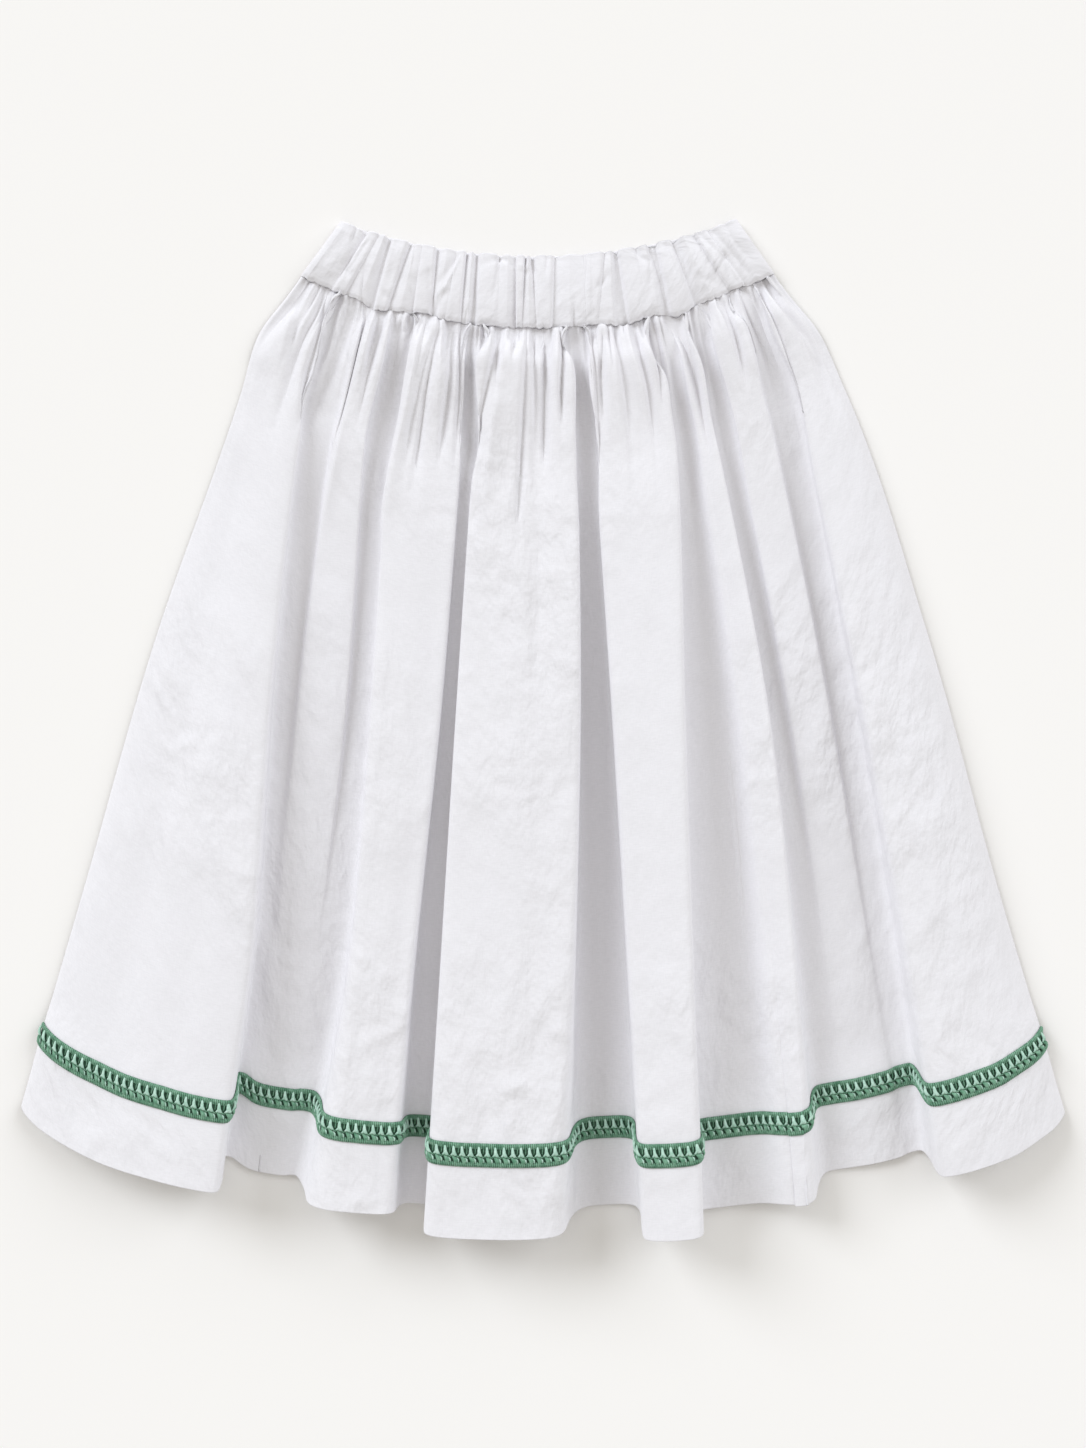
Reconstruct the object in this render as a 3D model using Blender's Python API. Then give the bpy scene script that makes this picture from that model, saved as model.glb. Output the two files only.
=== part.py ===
"""Gathered skirt laid flat: elastic waistband, front and back panel, braid sewn on above the hem.

Sizes are in millimetres and angles in degrees until the meshes are written, in metres. The skirt
lies in the XY plane with its waist towards +Y and its underside at Z = 0. Its outline is a fan, so
a place on a panel is given by its angle about the fan's apex and by its distance below the seam
of the waistband.
"""
import math

import bmesh
import bpy
import numpy as np

METRE = 0.001

# The fan
APEX_X = -5.805
APEX_Y = 853.3
HEM_DISTANCE = 665.0
HEM_RADIUS = 1208.0
SEAM_EDGE_RADIUS = 543.5
SEAM_SAG = 9.5
SEAM_GAP = 0.4
# Dips of the seam on the front: angle, width, depth
SEAM_DIPS = ((-12.6, 1.2, 3.5), (-8.6, 1.3, -2.5), (7.1, 1.2, 3.5), (11.3, 1.2, 4.8), (16.2, 1.0, -1.5))
SEAM_HALF = (-19.1, 19.5)

# Cloth
WALL = 1.3
SEAM_TOP = 7.6
EDGE_TOP = 2.95
SETTLE = 85.0

# The side edges: distance below the seam, left angle, right angle
SIDES = (
    (0.0, -19.1, 19.5),
    (50.0, -20.6, 21.1),
    (100.0, -20.35, 21.4),
    (290.0, -20.1, 20.8),
    (480.0, -19.35, 19.8),
    (665.0, -18.85, 19.3),
)

# The tables of the folds are read at these distances: upper, middle, lower, hem
LEVELS = (100.0, 290.0, 480.0, 665.0)

# One row for each edge of a fold: its angle at the four levels and how far its wall is tucked
# under the fold near the waist and at the hem (a wall that slopes out is below 0)
EDGE_NAMES = ("fold", "side", "upper", "middle", "lower", "hem", "tuck_upper", "tuck_hem")
EDGES = (
    ("outer_left", "right", -15.7, -13.2, -11.7, -11.1, 3.0, 5.0),
    ("low_left", "left", -13.5, -12.2, -11.0, -10.3, -1.0, -14.0),
    ("low_left", "right", -11.3, -9.7, -9.2, -9.1, 1.0, -5.0),
    ("inner_left", "left", -9.7, -8.5, -8.15, -8.05, 2.0, -12.0),
    ("inner_left", "right", -4.9, -4.78, -5.0, -5.0, 1.5, -6.0),
    ("centre", "left", -4.1, -4.0, -3.9, -3.85, 3.0, 6.0),
    ("centre", "right", 2.8, 2.3, 1.6, 0.9, 3.0, -14.0),
    ("inner_right", "left", 3.95, 3.9, 3.8, 3.7, 2.0, 1.0),
    ("inner_right", "right", 9.4, 7.6, 6.5, 5.8, 3.0, 9.0),
    ("middle_right", "left", 10.45, 8.6, 7.0, 6.2, 0.0, -3.0),
    ("middle_right", "right", 12.1, 11.8, 10.8, 9.8, 3.0, -12.0),
    ("low_right", "left", 13.4, 12.9, 12.2, 11.6, 0.0, -12.0),
    ("low_right", "right", 15.9, 15.0, 14.0, 13.2, 1.0, -6.0),
    ("outer_right", "left", 17.9, 16.1, 14.8, 13.9, 2.0, 3.0),
)

# One row for each fold: where its share of the seam begins, control points along its crown,
# control points up each wall, height at the four levels, share of that height at the left,
# centre and right of the crown, and how far its hem reaches past the hem's circle
FOLD_NAMES = (
    "fold", "seam", "crown", "wall_left", "wall_right",
    "upper", "middle", "lower", "hem", "left", "centre", "right", "drop",
)
FOLDS = (
    ("outer_left", -19.1, 2, 4, 4, 16.0, 28.0, 35.0, 38.0, 0.55, 0.82, 1.0, 18.0),
    ("low_left", -14.5, 1, 3, 3, 13.0, 12.0, 9.0, 7.0, 1.0, 1.0, 1.0, 3.0),
    ("inner_left", -10.6, 2, 4, 4, 17.0, 30.0, 38.0, 42.0, 1.0, 1.0, 0.9, 15.0),
    ("centre", -4.9, 4, 4, 4, 20.0, 34.0, 42.0, 46.0, 0.98, 1.0, 0.92, 27.0),
    ("inner_right", 2.2, 3, 4, 4, 20.0, 36.0, 44.0, 48.0, 0.92, 1.0, 1.0, 31.0),
    ("middle_right", 7.9, 1, 3, 4, 15.0, 24.0, 27.0, 28.0, 0.85, 0.95, 1.0, 22.0),
    ("low_right", 11.7, 1, 3, 3, 14.0, 14.0, 10.0, 7.0, 1.0, 1.0, 1.0, 6.0),
    ("outer_right", 15.2, 2, 4, 4, 18.0, 30.0, 36.0, 39.0, 1.0, 0.86, 0.62, 21.0),
)

# One row for each valley, by the fold on its left: height at the four levels, reach of its hem
VALLEY_NAMES = ("fold", "upper", "middle", "lower", "hem", "drop")
VALLEYS = (
    ("outer_left", 5.4, 3.4, 3.2, 3.2, -4.0),
    ("low_left", 5.4, 4.2, 4.5, 5.0, 1.0),
    ("inner_left", 5.2, 3.3, 3.2, 3.3, 11.0),
    ("centre", 5.2, 3.3, 3.2, 3.2, 11.0),
    ("inner_right", 6.0, 8.0, 9.0, 10.0, 13.0),
    ("middle_right", 5.2, 3.3, 3.2, 3.2, 5.0),
    ("low_right", 5.2, 3.6, 3.3, 3.3, 4.0),
)
CORNER_DROP = (0.0, 8.0)
# How far the hem of the back reaches past the circle: angle, reach
BACK_DROP = ((-19.0, 0.0), (-10.7, -3.0), (-8.0, 5.0), (-4.5, 12.0), (9.0, 12.0), (12.8, 5.0), (19.3, 8.0))

# Gathers: how many across the front, height, distances where they begin, are full and are gone
GATHER_NAMES = ("count", "height", "begin", "full", "gone", "turn")
GATHERS = (
    (50, 2.6, -10.0, 6.0, 50.0, 0.15),
    (25, 3.1, 5.0, 48.0, 140.0, 0.4),
    (14, 2.9, 50.0, 112.0, 270.0, 0.75),
)
BACK_GATHERS = (
    (42, 1.6, -10.0, 3.0, 40.0, 0.0),
    (21, 1.2, 5.0, 40.0, 100.0, 0.3),
)

# Folds of the back, which stand up inside the front's: angle at the waist and at the hem,
# half width and height
RIDGE_NAMES = ("upper", "hem", "half_width", "height")
RIDGES = (
    (-18.2, -17.0, 13.0, 8.0),
    (-15.0, -13.4, 15.0, 9.0),
    (-7.0, -6.3, 15.0, 10.0),
    (-0.8, -1.5, 19.0, 11.0),
    (6.6, 4.8, 12.0, 10.0),
    (11.1, 8.1, 12.0, 8.0),
    (18.8, 16.4, 15.0, 9.0),
)

# Waistband
BAND_WALL = 2.6
BAND_TOP_RADIUS = 495.5
BAND_TOP_SAG = 3.8
BAND_TOP_HALF = (-17.4, 18.0)
BAND_HEIGHT = 9.2
BAND_PUFF = 0.9
BAND_ROWS = (0.0, 0.1, 0.5, 0.88, 1.0)
# One row for each crease of the casing: angle at the top edge, at the seam, depth
CREASE_NAMES = ("top", "seam", "depth")
CREASES = (
    (-15.5, -16.6, 1.1), (-14.3, -15.3, 1.2), (-13.2, -13.0, 2.1), (-11.2, -11.9, 1.8),
    (-10.2, -9.9, 1.1), (-8.6, -8.3, 1.4), (-6.9, -7.2, 1.1), (-6.1, -5.9, 1.4),
    (-5.2, -4.8, 2.2), (-3.3, -3.0, 1.0), (-1.75, -1.65, 1.2), (-0.2, -0.5, 1.7),
    (1.7, 1.35, 1.2), (4.2, 3.5, 1.2), (6.0, 5.0, 1.1), (7.3, 7.3, 2.2),
    (9.6, 9.4, 1.0), (10.9, 10.7, 2.2), (12.3, 12.9, 2.2), (14.5, 15.6, 1.5), (16.0, 17.4, 1.1),
)
BACK_CREASES = 24
BACK_CREASE_DEPTH = 1.1

# Braid: its place, its lift and its section (distance across, thickness)
TRIM_FROM = 598.0
TRIM_TO = 615.0
TRIM_GAP = 0.3
TRIM_SECTION = ((0.0, 0.9), (1.6, 1.7), (4.0, 1.1), (10.5, 1.8), (16.5, 1.9), (20.0, 0.9))
TRIM_LIFT = 2.3
TRIM_EASE = 24.0

# Rows and columns of the meshes
FINE = 3
FINE_ROWS = (0.2, 9.0, 25.0, 58.0)
PLAIN_ROWS = (95.0, 150.0, 230.0, 325.0, 430.0, 545.0, 598.0, 615.0, 640.0, 665.0)
BACK_PLAIN_ROWS = (100.0, 190.0, 310.0, 440.0, 545.0, 598.0, 615.0, 640.0, 665.0)

WHITE = (0.86, 0.86, 0.88, 1.0)
GREEN = (0.07, 0.27, 0.14, 1.0)


def named(names, rows):
    """Turn the rows of a table into dictionaries."""
    return [dict(zip(names, row)) for row in rows]


def ease(x, start, end):
    """0 before start, 1 after end and a soft step between."""
    t = np.clip((x - start) / (end - start), 0.0, 1.0)
    return t * t * (3.0 - 2.0 * t)


def through(levels, values, at):
    """A smooth curve through the values at the levels, read at `at`; level outside them."""
    x = np.asarray(levels, float)
    y = np.asarray(values, float)
    slope = np.gradient(y, x)
    at = np.clip(at, x[0], x[-1])
    i = np.clip(np.searchsorted(x, at, side="right") - 1, 0, len(x) - 2)
    step = x[i + 1] - x[i]
    t = (at - x[i]) / step
    start = (2 * t**3 - 3 * t**2 + 1) * y[i] + (t**3 - 2 * t**2 + t) * step * slope[i]
    end = (3 * t**2 - 2 * t**3) * y[i + 1] + (t**3 - t**2) * step * slope[i + 1]
    return start + end


def at_levels(row, distance):
    """A value of a fold's row at the distances below the seam."""
    return through(LEVELS, [row[name] for name in ("upper", "middle", "lower", "hem")], distance)


def side_angles(distance):
    """Angles of the left and the right side edge."""
    levels = [row[0] for row in SIDES]
    left = through(levels, [row[1] for row in SIDES], distance)
    right = through(levels, [row[2] for row in SIDES], distance)
    return left, right


def seam_radius(angle, dipped):
    """Distance of the waistband's seam from the apex; dipped is 1 on the front and 0 on the back."""
    radius = SEAM_EDGE_RADIUS + SEAM_SAG * (1.0 - (angle / SEAM_HALF[1]) ** 2)
    for middle, width, depth in SEAM_DIPS:
        radius = radius + dipped * depth * np.exp(-(((angle - middle) / width) ** 2))
    return radius


def place(angle, distance, height, drop, dipped):
    """Points of a panel, (..., 3)."""
    share = distance / HEM_DISTANCE
    seam = seam_radius(angle, dipped)
    radius = seam + (HEM_RADIUS - seam) * share + drop * share**2
    turn = np.radians(angle)
    return np.stack([APEX_X + radius * np.sin(turn), APEX_Y - radius * np.cos(turn), height], -1)


def trim_lift(distance):
    """How far the cloth at the bottom is raised where the braid passes under the back."""
    rise = ease(distance, TRIM_FROM - TRIM_EASE, TRIM_FROM)
    return TRIM_LIFT * rise * (1.0 - ease(distance, TRIM_TO, TRIM_TO + TRIM_EASE))


def front_controls(distance):
    """Angle, height and hem drop of the control points of the front's sections, (rows, points)."""
    degree = np.degrees(1.0 / (HEM_RADIUS - HEM_DISTANCE + distance))
    near_hem = np.clip(distance / HEM_DISTANCE, 0.0, 1.0)
    edges = {(row["fold"], row["side"]): row for row in named(EDGE_NAMES, EDGES)}
    valleys = {row["fold"]: row for row in named(VALLEY_NAMES, VALLEYS)}
    side_left, side_right = side_angles(distance)
    points = [(side_left, EDGE_TOP, CORNER_DROP[0])]
    starts = [(0, SEAM_HALF[0])]
    floor, floor_drop, last_foot = EDGE_TOP, CORNER_DROP[0], None

    def wall(edge, top, level, low_drop, row, count, outwards):
        """Control points from the foot of a wall up to its crown; outwards is -1 on the left."""
        tuck = edge["tuck_upper"] + (edge["tuck_hem"] - edge["tuck_upper"]) * near_hem
        angle = at_levels(edge, distance)
        spill = np.minimum(tuck, 0.0)
        foot = angle - outwards * tuck * degree
        middle = angle - outwards * 0.35 * spill * degree
        made = [(foot, level + 0.02 * (top - level), low_drop)]
        if count == 4:
            height = level + 0.45 * (top - level)
            made.append((middle, height, 0.5 * (low_drop + row["drop"])))
        round_off = 0.45 * np.minimum(9.0, 0.2 * width) * degree
        made.append((angle - outwards * round_off, level + 0.88 * (top - level), 0.9 * row["drop"]))
        made.append((angle - outwards * 0.22 * width * degree, top, row["drop"]))
        return made

    def side(top, corner_drop, row, edge_angle, inwards):
        """Control points of the soft outer side of the skirt, from its edge to the crown."""
        return [
            (edge_angle + inwards * 0.5 * degree, EDGE_TOP + 0.1 * (top - EDGE_TOP), corner_drop),
            (edge_angle + inwards * 5.0 * degree, EDGE_TOP + 0.3 * (top - EDGE_TOP),
             0.8 * corner_drop + 0.2 * row["drop"]),
            (edge_angle + inwards * 0.13 * width * degree, 0.72 * top, 0.55 * row["drop"] + 0.3 * corner_drop),
            (edge_angle + inwards * 0.28 * width * degree, top, 0.8 * row["drop"]),
        ]

    for row in named(FOLD_NAMES, FOLDS):
        crown = at_levels(row, distance)
        left_edge = edges.get((row["fold"], "left"))
        right_edge = edges.get((row["fold"], "right"))
        left = side_left if left_edge is None else at_levels(left_edge, distance)
        right = side_right if right_edge is None else at_levels(right_edge, distance)
        width = (right - left) / degree
        if left_edge is None:
            points += side(crown * row["left"], CORNER_DROP[0], row, side_left, 1)
        else:
            risen = wall(left_edge, crown * row["left"], floor, floor_drop, row, row["wall_left"], -1)
            starts.append((len(points), row["seam"]))
            points.append((0.5 * (last_foot + risen[0][0]), floor, floor_drop))
            points += risen
        for step in range(row["crown"]):
            along = (step + 1) / (row["crown"] + 1)
            share = np.interp(along, (0.0, 0.5, 1.0), (row["left"], row["centre"], row["right"]))
            inset = 0.28 if left_edge is None else 0.22
            outset = 0.28 if right_edge is None else 0.22
            span = inset + along * (1.0 - inset - outset)
            points.append((left + span * width * degree, crown * share, row["drop"]))
        if right_edge is None:
            points += side(crown * row["right"], CORNER_DROP[1], row, side_right, -1)[::-1]
        else:
            valley = valleys[row["fold"]]
            floor, floor_drop = at_levels(valley, distance), valley["drop"]
            fallen = wall(right_edge, crown * row["right"], floor, floor_drop, row, row["wall_right"], 1)
            points += fallen[::-1]
            last_foot = fallen[0][0]
    points.append((side_right, EDGE_TOP, CORNER_DROP[1]))
    starts.append((len(points) - 1, SEAM_HALF[1]))

    angle, height, drop = (
        np.stack([entry[part] + 0.0 * distance for entry in points], -1) for part in range(3)
    )
    order = np.arange(len(points))
    at_seam = np.interp(order, [entry[0] for entry in starts], [entry[1] for entry in starts])
    from_side = np.minimum(order, len(points) - 1 - order)
    seam_height = EDGE_TOP + (SEAM_TOP - EDGE_TOP) * ease(from_side, -1.0, 3.0)
    seam_height[[0, -1]] = EDGE_TOP
    settled = ease(distance, 0.0, SETTLE)[:, None]
    angle = at_seam + (angle - at_seam) * settled
    height = seam_height + (height - seam_height) * settled
    low = 1.0 - ease(height, 6.0, 30.0)
    return angle, height + trim_lift(distance)[:, None] * low, drop


def blend_matrix(count, steps):
    """Rows of weights that draw a smooth curve near the control points, met at both ends."""
    spans = count - 1
    weights = np.zeros((spans * steps + 1, count + 2))
    for k in range(spans * steps + 1):
        i = min(k // steps, spans - 1)
        t = k / steps - i
        weights[k, i : i + 4] = (
            (1 - t) ** 3 / 6,
            (3 * t**3 - 6 * t**2 + 4) / 6,
            (3 * t + 3 * t**2 - 3 * t**3 + 1) / 6,
            t**3 / 6,
        )
    inner = weights[:, 1:-1].copy()
    inner[:, 0] += 2 * weights[:, 0]
    inner[:, 1] -= weights[:, 0]
    inner[:, -1] += 2 * weights[:, -1]
    inner[:, -2] -= weights[:, -1]
    return inner


def normals(points):
    """Unit normals of a grid of points, (rows, columns, 3)."""
    across = np.gradient(points, axis=1)
    along = np.gradient(points, axis=0)
    normal = np.cross(along, across)
    return normal / np.linalg.norm(normal, axis=-1, keepdims=True)


def gathers(rows, across, distance):
    """Height of the gathers at a share of the panel's width and a distance below the seam."""
    total = 0.0 * across * distance
    for row in named(GATHER_NAMES, rows):
        phase = row["count"] * across + row["turn"] + 0.22 * np.sin(2 * math.pi * (3.3 * across + row["turn"]))
        uneven = 0.78 + 0.22 * np.sin(2 * math.pi * (0.31 * row["count"] * across + row["turn"]))
        wave = 0.5 + 0.5 * np.cos(2 * math.pi * phase)
        shown = ease(distance, row["begin"], row["full"]) * (1 - ease(distance, row["full"], row["gone"]))
        total = total + row["height"] * uneven * wave * shown
    return total


def front_surface(distance, steps):
    """Points of the front's outer side."""
    angle, height, drop = front_controls(distance)
    weights = blend_matrix(angle.shape[1], steps)
    angle, height, drop = angle @ weights.T, height @ weights.T, drop @ weights.T
    below = distance[:, None] + 0.0 * angle
    points = place(angle, below, height, drop, 1.0)
    across = np.linspace(0.0, 1.0, angle.shape[1])[None, :]
    from_side = 60.0 * np.minimum(across, 1.0 - across)
    lift = gathers(GATHERS, across, below)
    lift = (lift - 0.3 * lift.max(axis=1, keepdims=True)) * ease(from_side, 0.0, 1.5)
    return points + lift[..., None] * normals(points)


def back_surface(distance, steps):
    """Points of the back's outer side, which faces down, from the left edge to the right."""
    degree = np.degrees(1.0 / (HEM_RADIUS - HEM_DISTANCE + distance))
    share = np.clip(distance / HEM_DISTANCE, 0.0, 1.0)
    left, right = side_angles(distance)
    stations = [left]
    last = left
    for row in named(RIDGE_NAMES, RIDGES):
        middle = row["upper"] + (row["hem"] - row["upper"]) * share
        half = row["half_width"] * (0.55 + 0.45 * share) * degree
        stations.append(0.5 * (last + middle - half))
        stations += [middle + part * half for part in (-1.0, -0.62, -0.25, 0.25, 0.62, 1.0)]
        last = middle + half
    stations += [0.5 * (last + right), right]
    stations = np.stack([entry + 0.0 * distance for entry in stations], -1)
    count = stations.shape[1]
    even = np.linspace(SEAM_HALF[0], SEAM_HALF[1], count)
    stations = even + (stations - even) * ease(distance, 0.0, SETTLE)[:, None]
    order = np.arange(count)
    fine = np.linspace(0, count - 1, (count - 1) * steps + 1)
    angle = np.stack([np.interp(fine, order, row) for row in stations])
    below = distance[:, None] + 0.0 * angle
    height = 0.0 * angle
    for row in named(RIDGE_NAMES, RIDGES):
        middle = row["upper"] + (row["hem"] - row["upper"]) * share
        half = row["half_width"] * (0.55 + 0.45 * share) * degree
        off = np.clip((angle - middle[:, None]) / half[:, None], -1.0, 1.0)
        height += row["height"] * (0.5 + 0.5 * np.cos(math.pi * off)) * ease(below, 90.0, 420.0)
    across = fine[None, :] / (count - 1)
    from_side = 60.0 * np.minimum(across, 1.0 - across)
    height += gathers(BACK_GATHERS, across, below) * ease(from_side, 0.0, 2.0)
    height = height + trim_lift(below) * (1.0 - ease(height, 3.0, 12.0))
    drop = np.interp(angle, [row[0] for row in BACK_DROP], [row[1] for row in BACK_DROP])
    return place(angle, below, height, drop, 0.0)


def band_section(share):
    """The waistband's outer and inner outline at a share of its height: angle, height, front share."""
    creases = named(CREASE_NAMES, CREASES)
    top = [BAND_TOP_HALF[0]] + [row["top"] for row in creases] + [BAND_TOP_HALF[1]]
    seam = [SEAM_HALF[0]] + [row["seam"] for row in creases] + [SEAM_HALF[1]]
    depth = [0.0] + [row["depth"] for row in creases] + [0.0]
    order = np.arange(len(top))
    column = np.concatenate([np.arange(k, k + 1, 0.25) for k in order[:-1]])[1:]
    nearest = np.round(column)
    groove = (1.0 - 2.0 * np.abs(column - nearest)) ** 1.6 * np.interp(nearest, order, depth)
    crown = BAND_HEIGHT + BAND_PUFF * ease(share, 0.05, 0.4) * (1.0 - ease(share, 0.6, 0.95))
    crown = crown - 0.6 * ease(share, 0.85, 1.0)
    left, right = (SEAM_HALF[i] + (BAND_TOP_HALF[i] - SEAM_HALF[i]) * share for i in (0, 1))
    degree = math.degrees(1.0 / (SEAM_EDGE_RADIUS + (BAND_TOP_RADIUS - SEAM_EDGE_RADIUS) * share))
    turn = BAND_HEIGHT / 2.0 * degree
    bends = np.radians((60.0, 20.0, -20.0, -60.0))
    front_angle = np.interp(column, order, seam) * (1.0 - share) + np.interp(column, order, top) * share
    front_angle = np.clip(front_angle, left + turn, right - turn)
    back_count = 2 * BACK_CREASES + 1
    back_angle = np.linspace(right - turn, left + turn, back_count)
    back_height = BACK_CREASE_DEPTH * (np.arange(back_count) % 2)
    side_height = crown / 2.0 * (1.0 + np.sin(bends))
    inset = turn * (1.0 - np.cos(bends))
    angle = np.concatenate([front_angle, right - inset, back_angle, (left + inset)[::-1]])
    height = np.concatenate([crown - groove, side_height, back_height, side_height[::-1]])
    dipped = np.concatenate([0.0 * front_angle + 1.0, 0.0 * bends, 0.0 * back_angle, 0.0 * bends])
    across = angle / degree
    way = np.stack([np.roll(across, -1) - np.roll(across, 1), np.roll(height, -1) - np.roll(height, 1)])
    way = way / np.linalg.norm(way, axis=0)
    inner_angle = angle + way[1] * BAND_WALL * degree
    inner_height = height - way[0] * BAND_WALL
    return angle, height, inner_angle, inner_height, dipped


def band_place(share, angle, height, dipped):
    """Points of the waistband at a share of its height above the seam."""
    bottom = seam_radius(angle, dipped) - SEAM_GAP / 2.0
    top = BAND_TOP_RADIUS + BAND_TOP_SAG * (1.0 - (angle / BAND_TOP_HALF[1]) ** 2)
    radius = bottom + (top - bottom) * share
    turn = np.radians(angle)
    return np.stack([APEX_X + radius * np.sin(turn), APEX_Y - radius * np.cos(turn), height], -1)


def band_surface():
    """Points of the waistband: rows up its outside, down its inside and back, columns once around."""
    rows = []
    for share in BAND_ROWS:
        angle, height, _, _, dipped = band_section(share)
        rows.append(band_place(share, angle, height, dipped))
    for share in (1.0, 0.5, 0.0):
        _, _, angle, height, dipped = band_section(share)
        rows.append(band_place(share, angle, height, dipped))
    points = np.stack(rows + rows[:1])
    return np.concatenate([points, points[:, :1]], axis=1)


def trim_surface(panel, first, outwards):
    """Points of a strip of braid over two rows of a panel: columns along, once around its section."""
    normal = normals(panel)[first : first + 2] * outwards
    rows = panel[first : first + 2]
    under = [rows[0] + TRIM_GAP * normal[0]]
    over = []
    for across, thickness in TRIM_SECTION:
        share = across / TRIM_SECTION[-1][0]
        base = rows[0] + (rows[1] - rows[0]) * share
        way = normal[0] + (normal[1] - normal[0]) * share
        way = way / np.linalg.norm(way, axis=-1, keepdims=True)
        over.append(base + (TRIM_GAP + thickness) * way)
    loop = under + over + [rows[1] + TRIM_GAP * normal[1], under[0]]
    return np.stack(loop)


def clear_scene():
    """Start from an empty scene."""
    for thing in list(bpy.data.objects):
        bpy.data.objects.remove(thing, do_unlink=True)


def material(name, colour, roughness):
    """A plain material."""
    made = bpy.data.materials.new(name)
    made.use_nodes = True
    shader = made.node_tree.nodes["Principled BSDF"]
    shader.inputs["Base Color"].default_value = colour
    shader.inputs["Roughness"].default_value = roughness
    shader.inputs["Metallic"].default_value = 0.0
    return made


def grid_of(points):
    """A grid whose vertices are moved onto the points; its faces look along their normals."""
    rows, columns = points.shape[:2]
    made = bmesh.new()
    bmesh.ops.create_grid(made, x_segments=columns - 1, y_segments=rows - 1, size=1.0)
    made.verts.ensure_lookup_table()
    for vertex, point in zip(made.verts, points.reshape(-1, 3)):
        vertex.co = point * METRE
    return made


def add_object(name, made, look, thickness=0.0):
    """A named object with its own material, thickened inwards where it is a wall of cloth."""
    mesh = bpy.data.meshes.new(name)
    made.to_mesh(mesh)
    made.free()
    mesh.materials.append(look)
    thing = bpy.data.objects.new(name, mesh)
    bpy.context.scene.collection.objects.link(thing)
    if thickness:
        wall = thing.modifiers.new("wall", "SOLIDIFY")
        wall.thickness = thickness * METRE
        wall.offset = -1.0
        wall.use_even_offset = False
        wall.use_rim = True
    return thing


def add_panel(name, surface, plain_rows, look, outwards):
    """A panel of cloth; returns its points at the plain columns, for what is sewn on it."""
    distance = np.array(FINE_ROWS + plain_rows)
    points = surface(distance, FINE)
    facing = points if outwards > 0 else points[:, ::-1]
    made = grid_of(facing[::-1])
    # The grid runs from the hem up. Below the gathered rows only every FINE-th column is kept.
    columns = facing.shape[1]
    plain_count = len(plain_rows)
    doomed = []
    for edge in made.edges:
        low, high = sorted(vertex.index for vertex in edge.verts)
        upright = high - low == columns
        if upright and high // columns <= plain_count and low % columns % FINE:
            doomed.append(edge)
    bmesh.ops.dissolve_edges(made, edges=doomed, use_verts=True, use_face_split=False)
    add_object(name, made, look, WALL)
    return points[:, ::FINE]


def add_trim(name, panel, plain_rows, look, outwards):
    """A strip of braid sewn on a panel, closed at both ends."""
    first = len(FINE_ROWS) + plain_rows.index(TRIM_FROM)
    made = grid_of(trim_surface(panel, first, outwards))
    bmesh.ops.remove_doubles(made, verts=made.verts[:], dist=1e-7)
    open_edges = [edge for edge in made.edges if edge.is_boundary]
    bmesh.ops.holes_fill(made, edges=open_edges, sides=0)
    bmesh.ops.recalc_face_normals(made, faces=made.faces[:])
    add_object(name, made, look)


def add_band(look):
    """The waistband: one flattened ring with its inside."""
    made = grid_of(band_surface())
    bmesh.ops.remove_doubles(made, verts=made.verts[:], dist=1e-7)
    bmesh.ops.recalc_face_normals(made, faces=made.faces[:])
    add_object("waistband", made, look)


clear_scene()
front = add_panel("front_panel", front_surface, PLAIN_ROWS, material("cotton_front", WHITE, 0.85), 1)
back = add_panel("back_panel", back_surface, BACK_PLAIN_ROWS, material("cotton_back", WHITE, 0.85), -1)
add_band(material("cotton_waistband", WHITE, 0.85))
add_trim("trim_front", front, PLAIN_ROWS, material("braid_front", GREEN, 0.75), 1)
add_trim("trim_back", back, BACK_PLAIN_ROWS, material("braid_back", GREEN, 0.75), -1)
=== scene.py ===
# %% [markdown]
# # A gathered cotton skirt, laid flat
# The real skirt is a front and a back panel of plain white cotton, gathered into a casing with
# elastic in it, with a green crocheted braid sewn on above the hem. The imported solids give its
# form. Every visible piece is made again here as thin cloth or yarn on that form, because cloth
# is read from its creases, its weave and its edges, which a solid doesn't have.

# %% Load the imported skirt
import math

import bmesh
import bpy
import numpy as np
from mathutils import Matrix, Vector


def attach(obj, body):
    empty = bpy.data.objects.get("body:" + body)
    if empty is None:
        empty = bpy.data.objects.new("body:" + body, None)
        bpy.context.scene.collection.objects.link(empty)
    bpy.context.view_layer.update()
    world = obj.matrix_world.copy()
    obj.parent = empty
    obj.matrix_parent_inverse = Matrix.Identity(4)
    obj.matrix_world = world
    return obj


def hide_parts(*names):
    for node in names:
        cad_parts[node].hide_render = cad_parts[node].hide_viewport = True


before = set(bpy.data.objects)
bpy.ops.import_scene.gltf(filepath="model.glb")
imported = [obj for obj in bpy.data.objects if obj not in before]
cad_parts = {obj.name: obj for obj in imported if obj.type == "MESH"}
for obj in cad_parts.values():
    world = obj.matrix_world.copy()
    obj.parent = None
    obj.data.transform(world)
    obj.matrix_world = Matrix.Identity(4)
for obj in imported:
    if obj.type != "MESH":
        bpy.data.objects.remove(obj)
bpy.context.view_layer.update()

METRE = 0.001  # metres in a millimetre

# %% [markdown]
# ## Camera, floor and light
# The skirt is seen from straight above, as on a copy stand, with a wide soft lamp low on each side.
# One lamp alone would leave the far side of each fold too dark. The left one is the stronger, so
# each fold is bright on one side and grey on the other, and the world keeps the shadows soft.

# %% Camera
EYE_HEIGHT = 1.6
# The picture is this many pixels high, and each is this many millimetres on the skirt
PICTURE_ROWS, PIXEL = 1448, 0.76
FRAME_HEIGHT = PICTURE_ROWS * PIXEL * METRE
SENSOR_HEIGHT = 36.0

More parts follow.
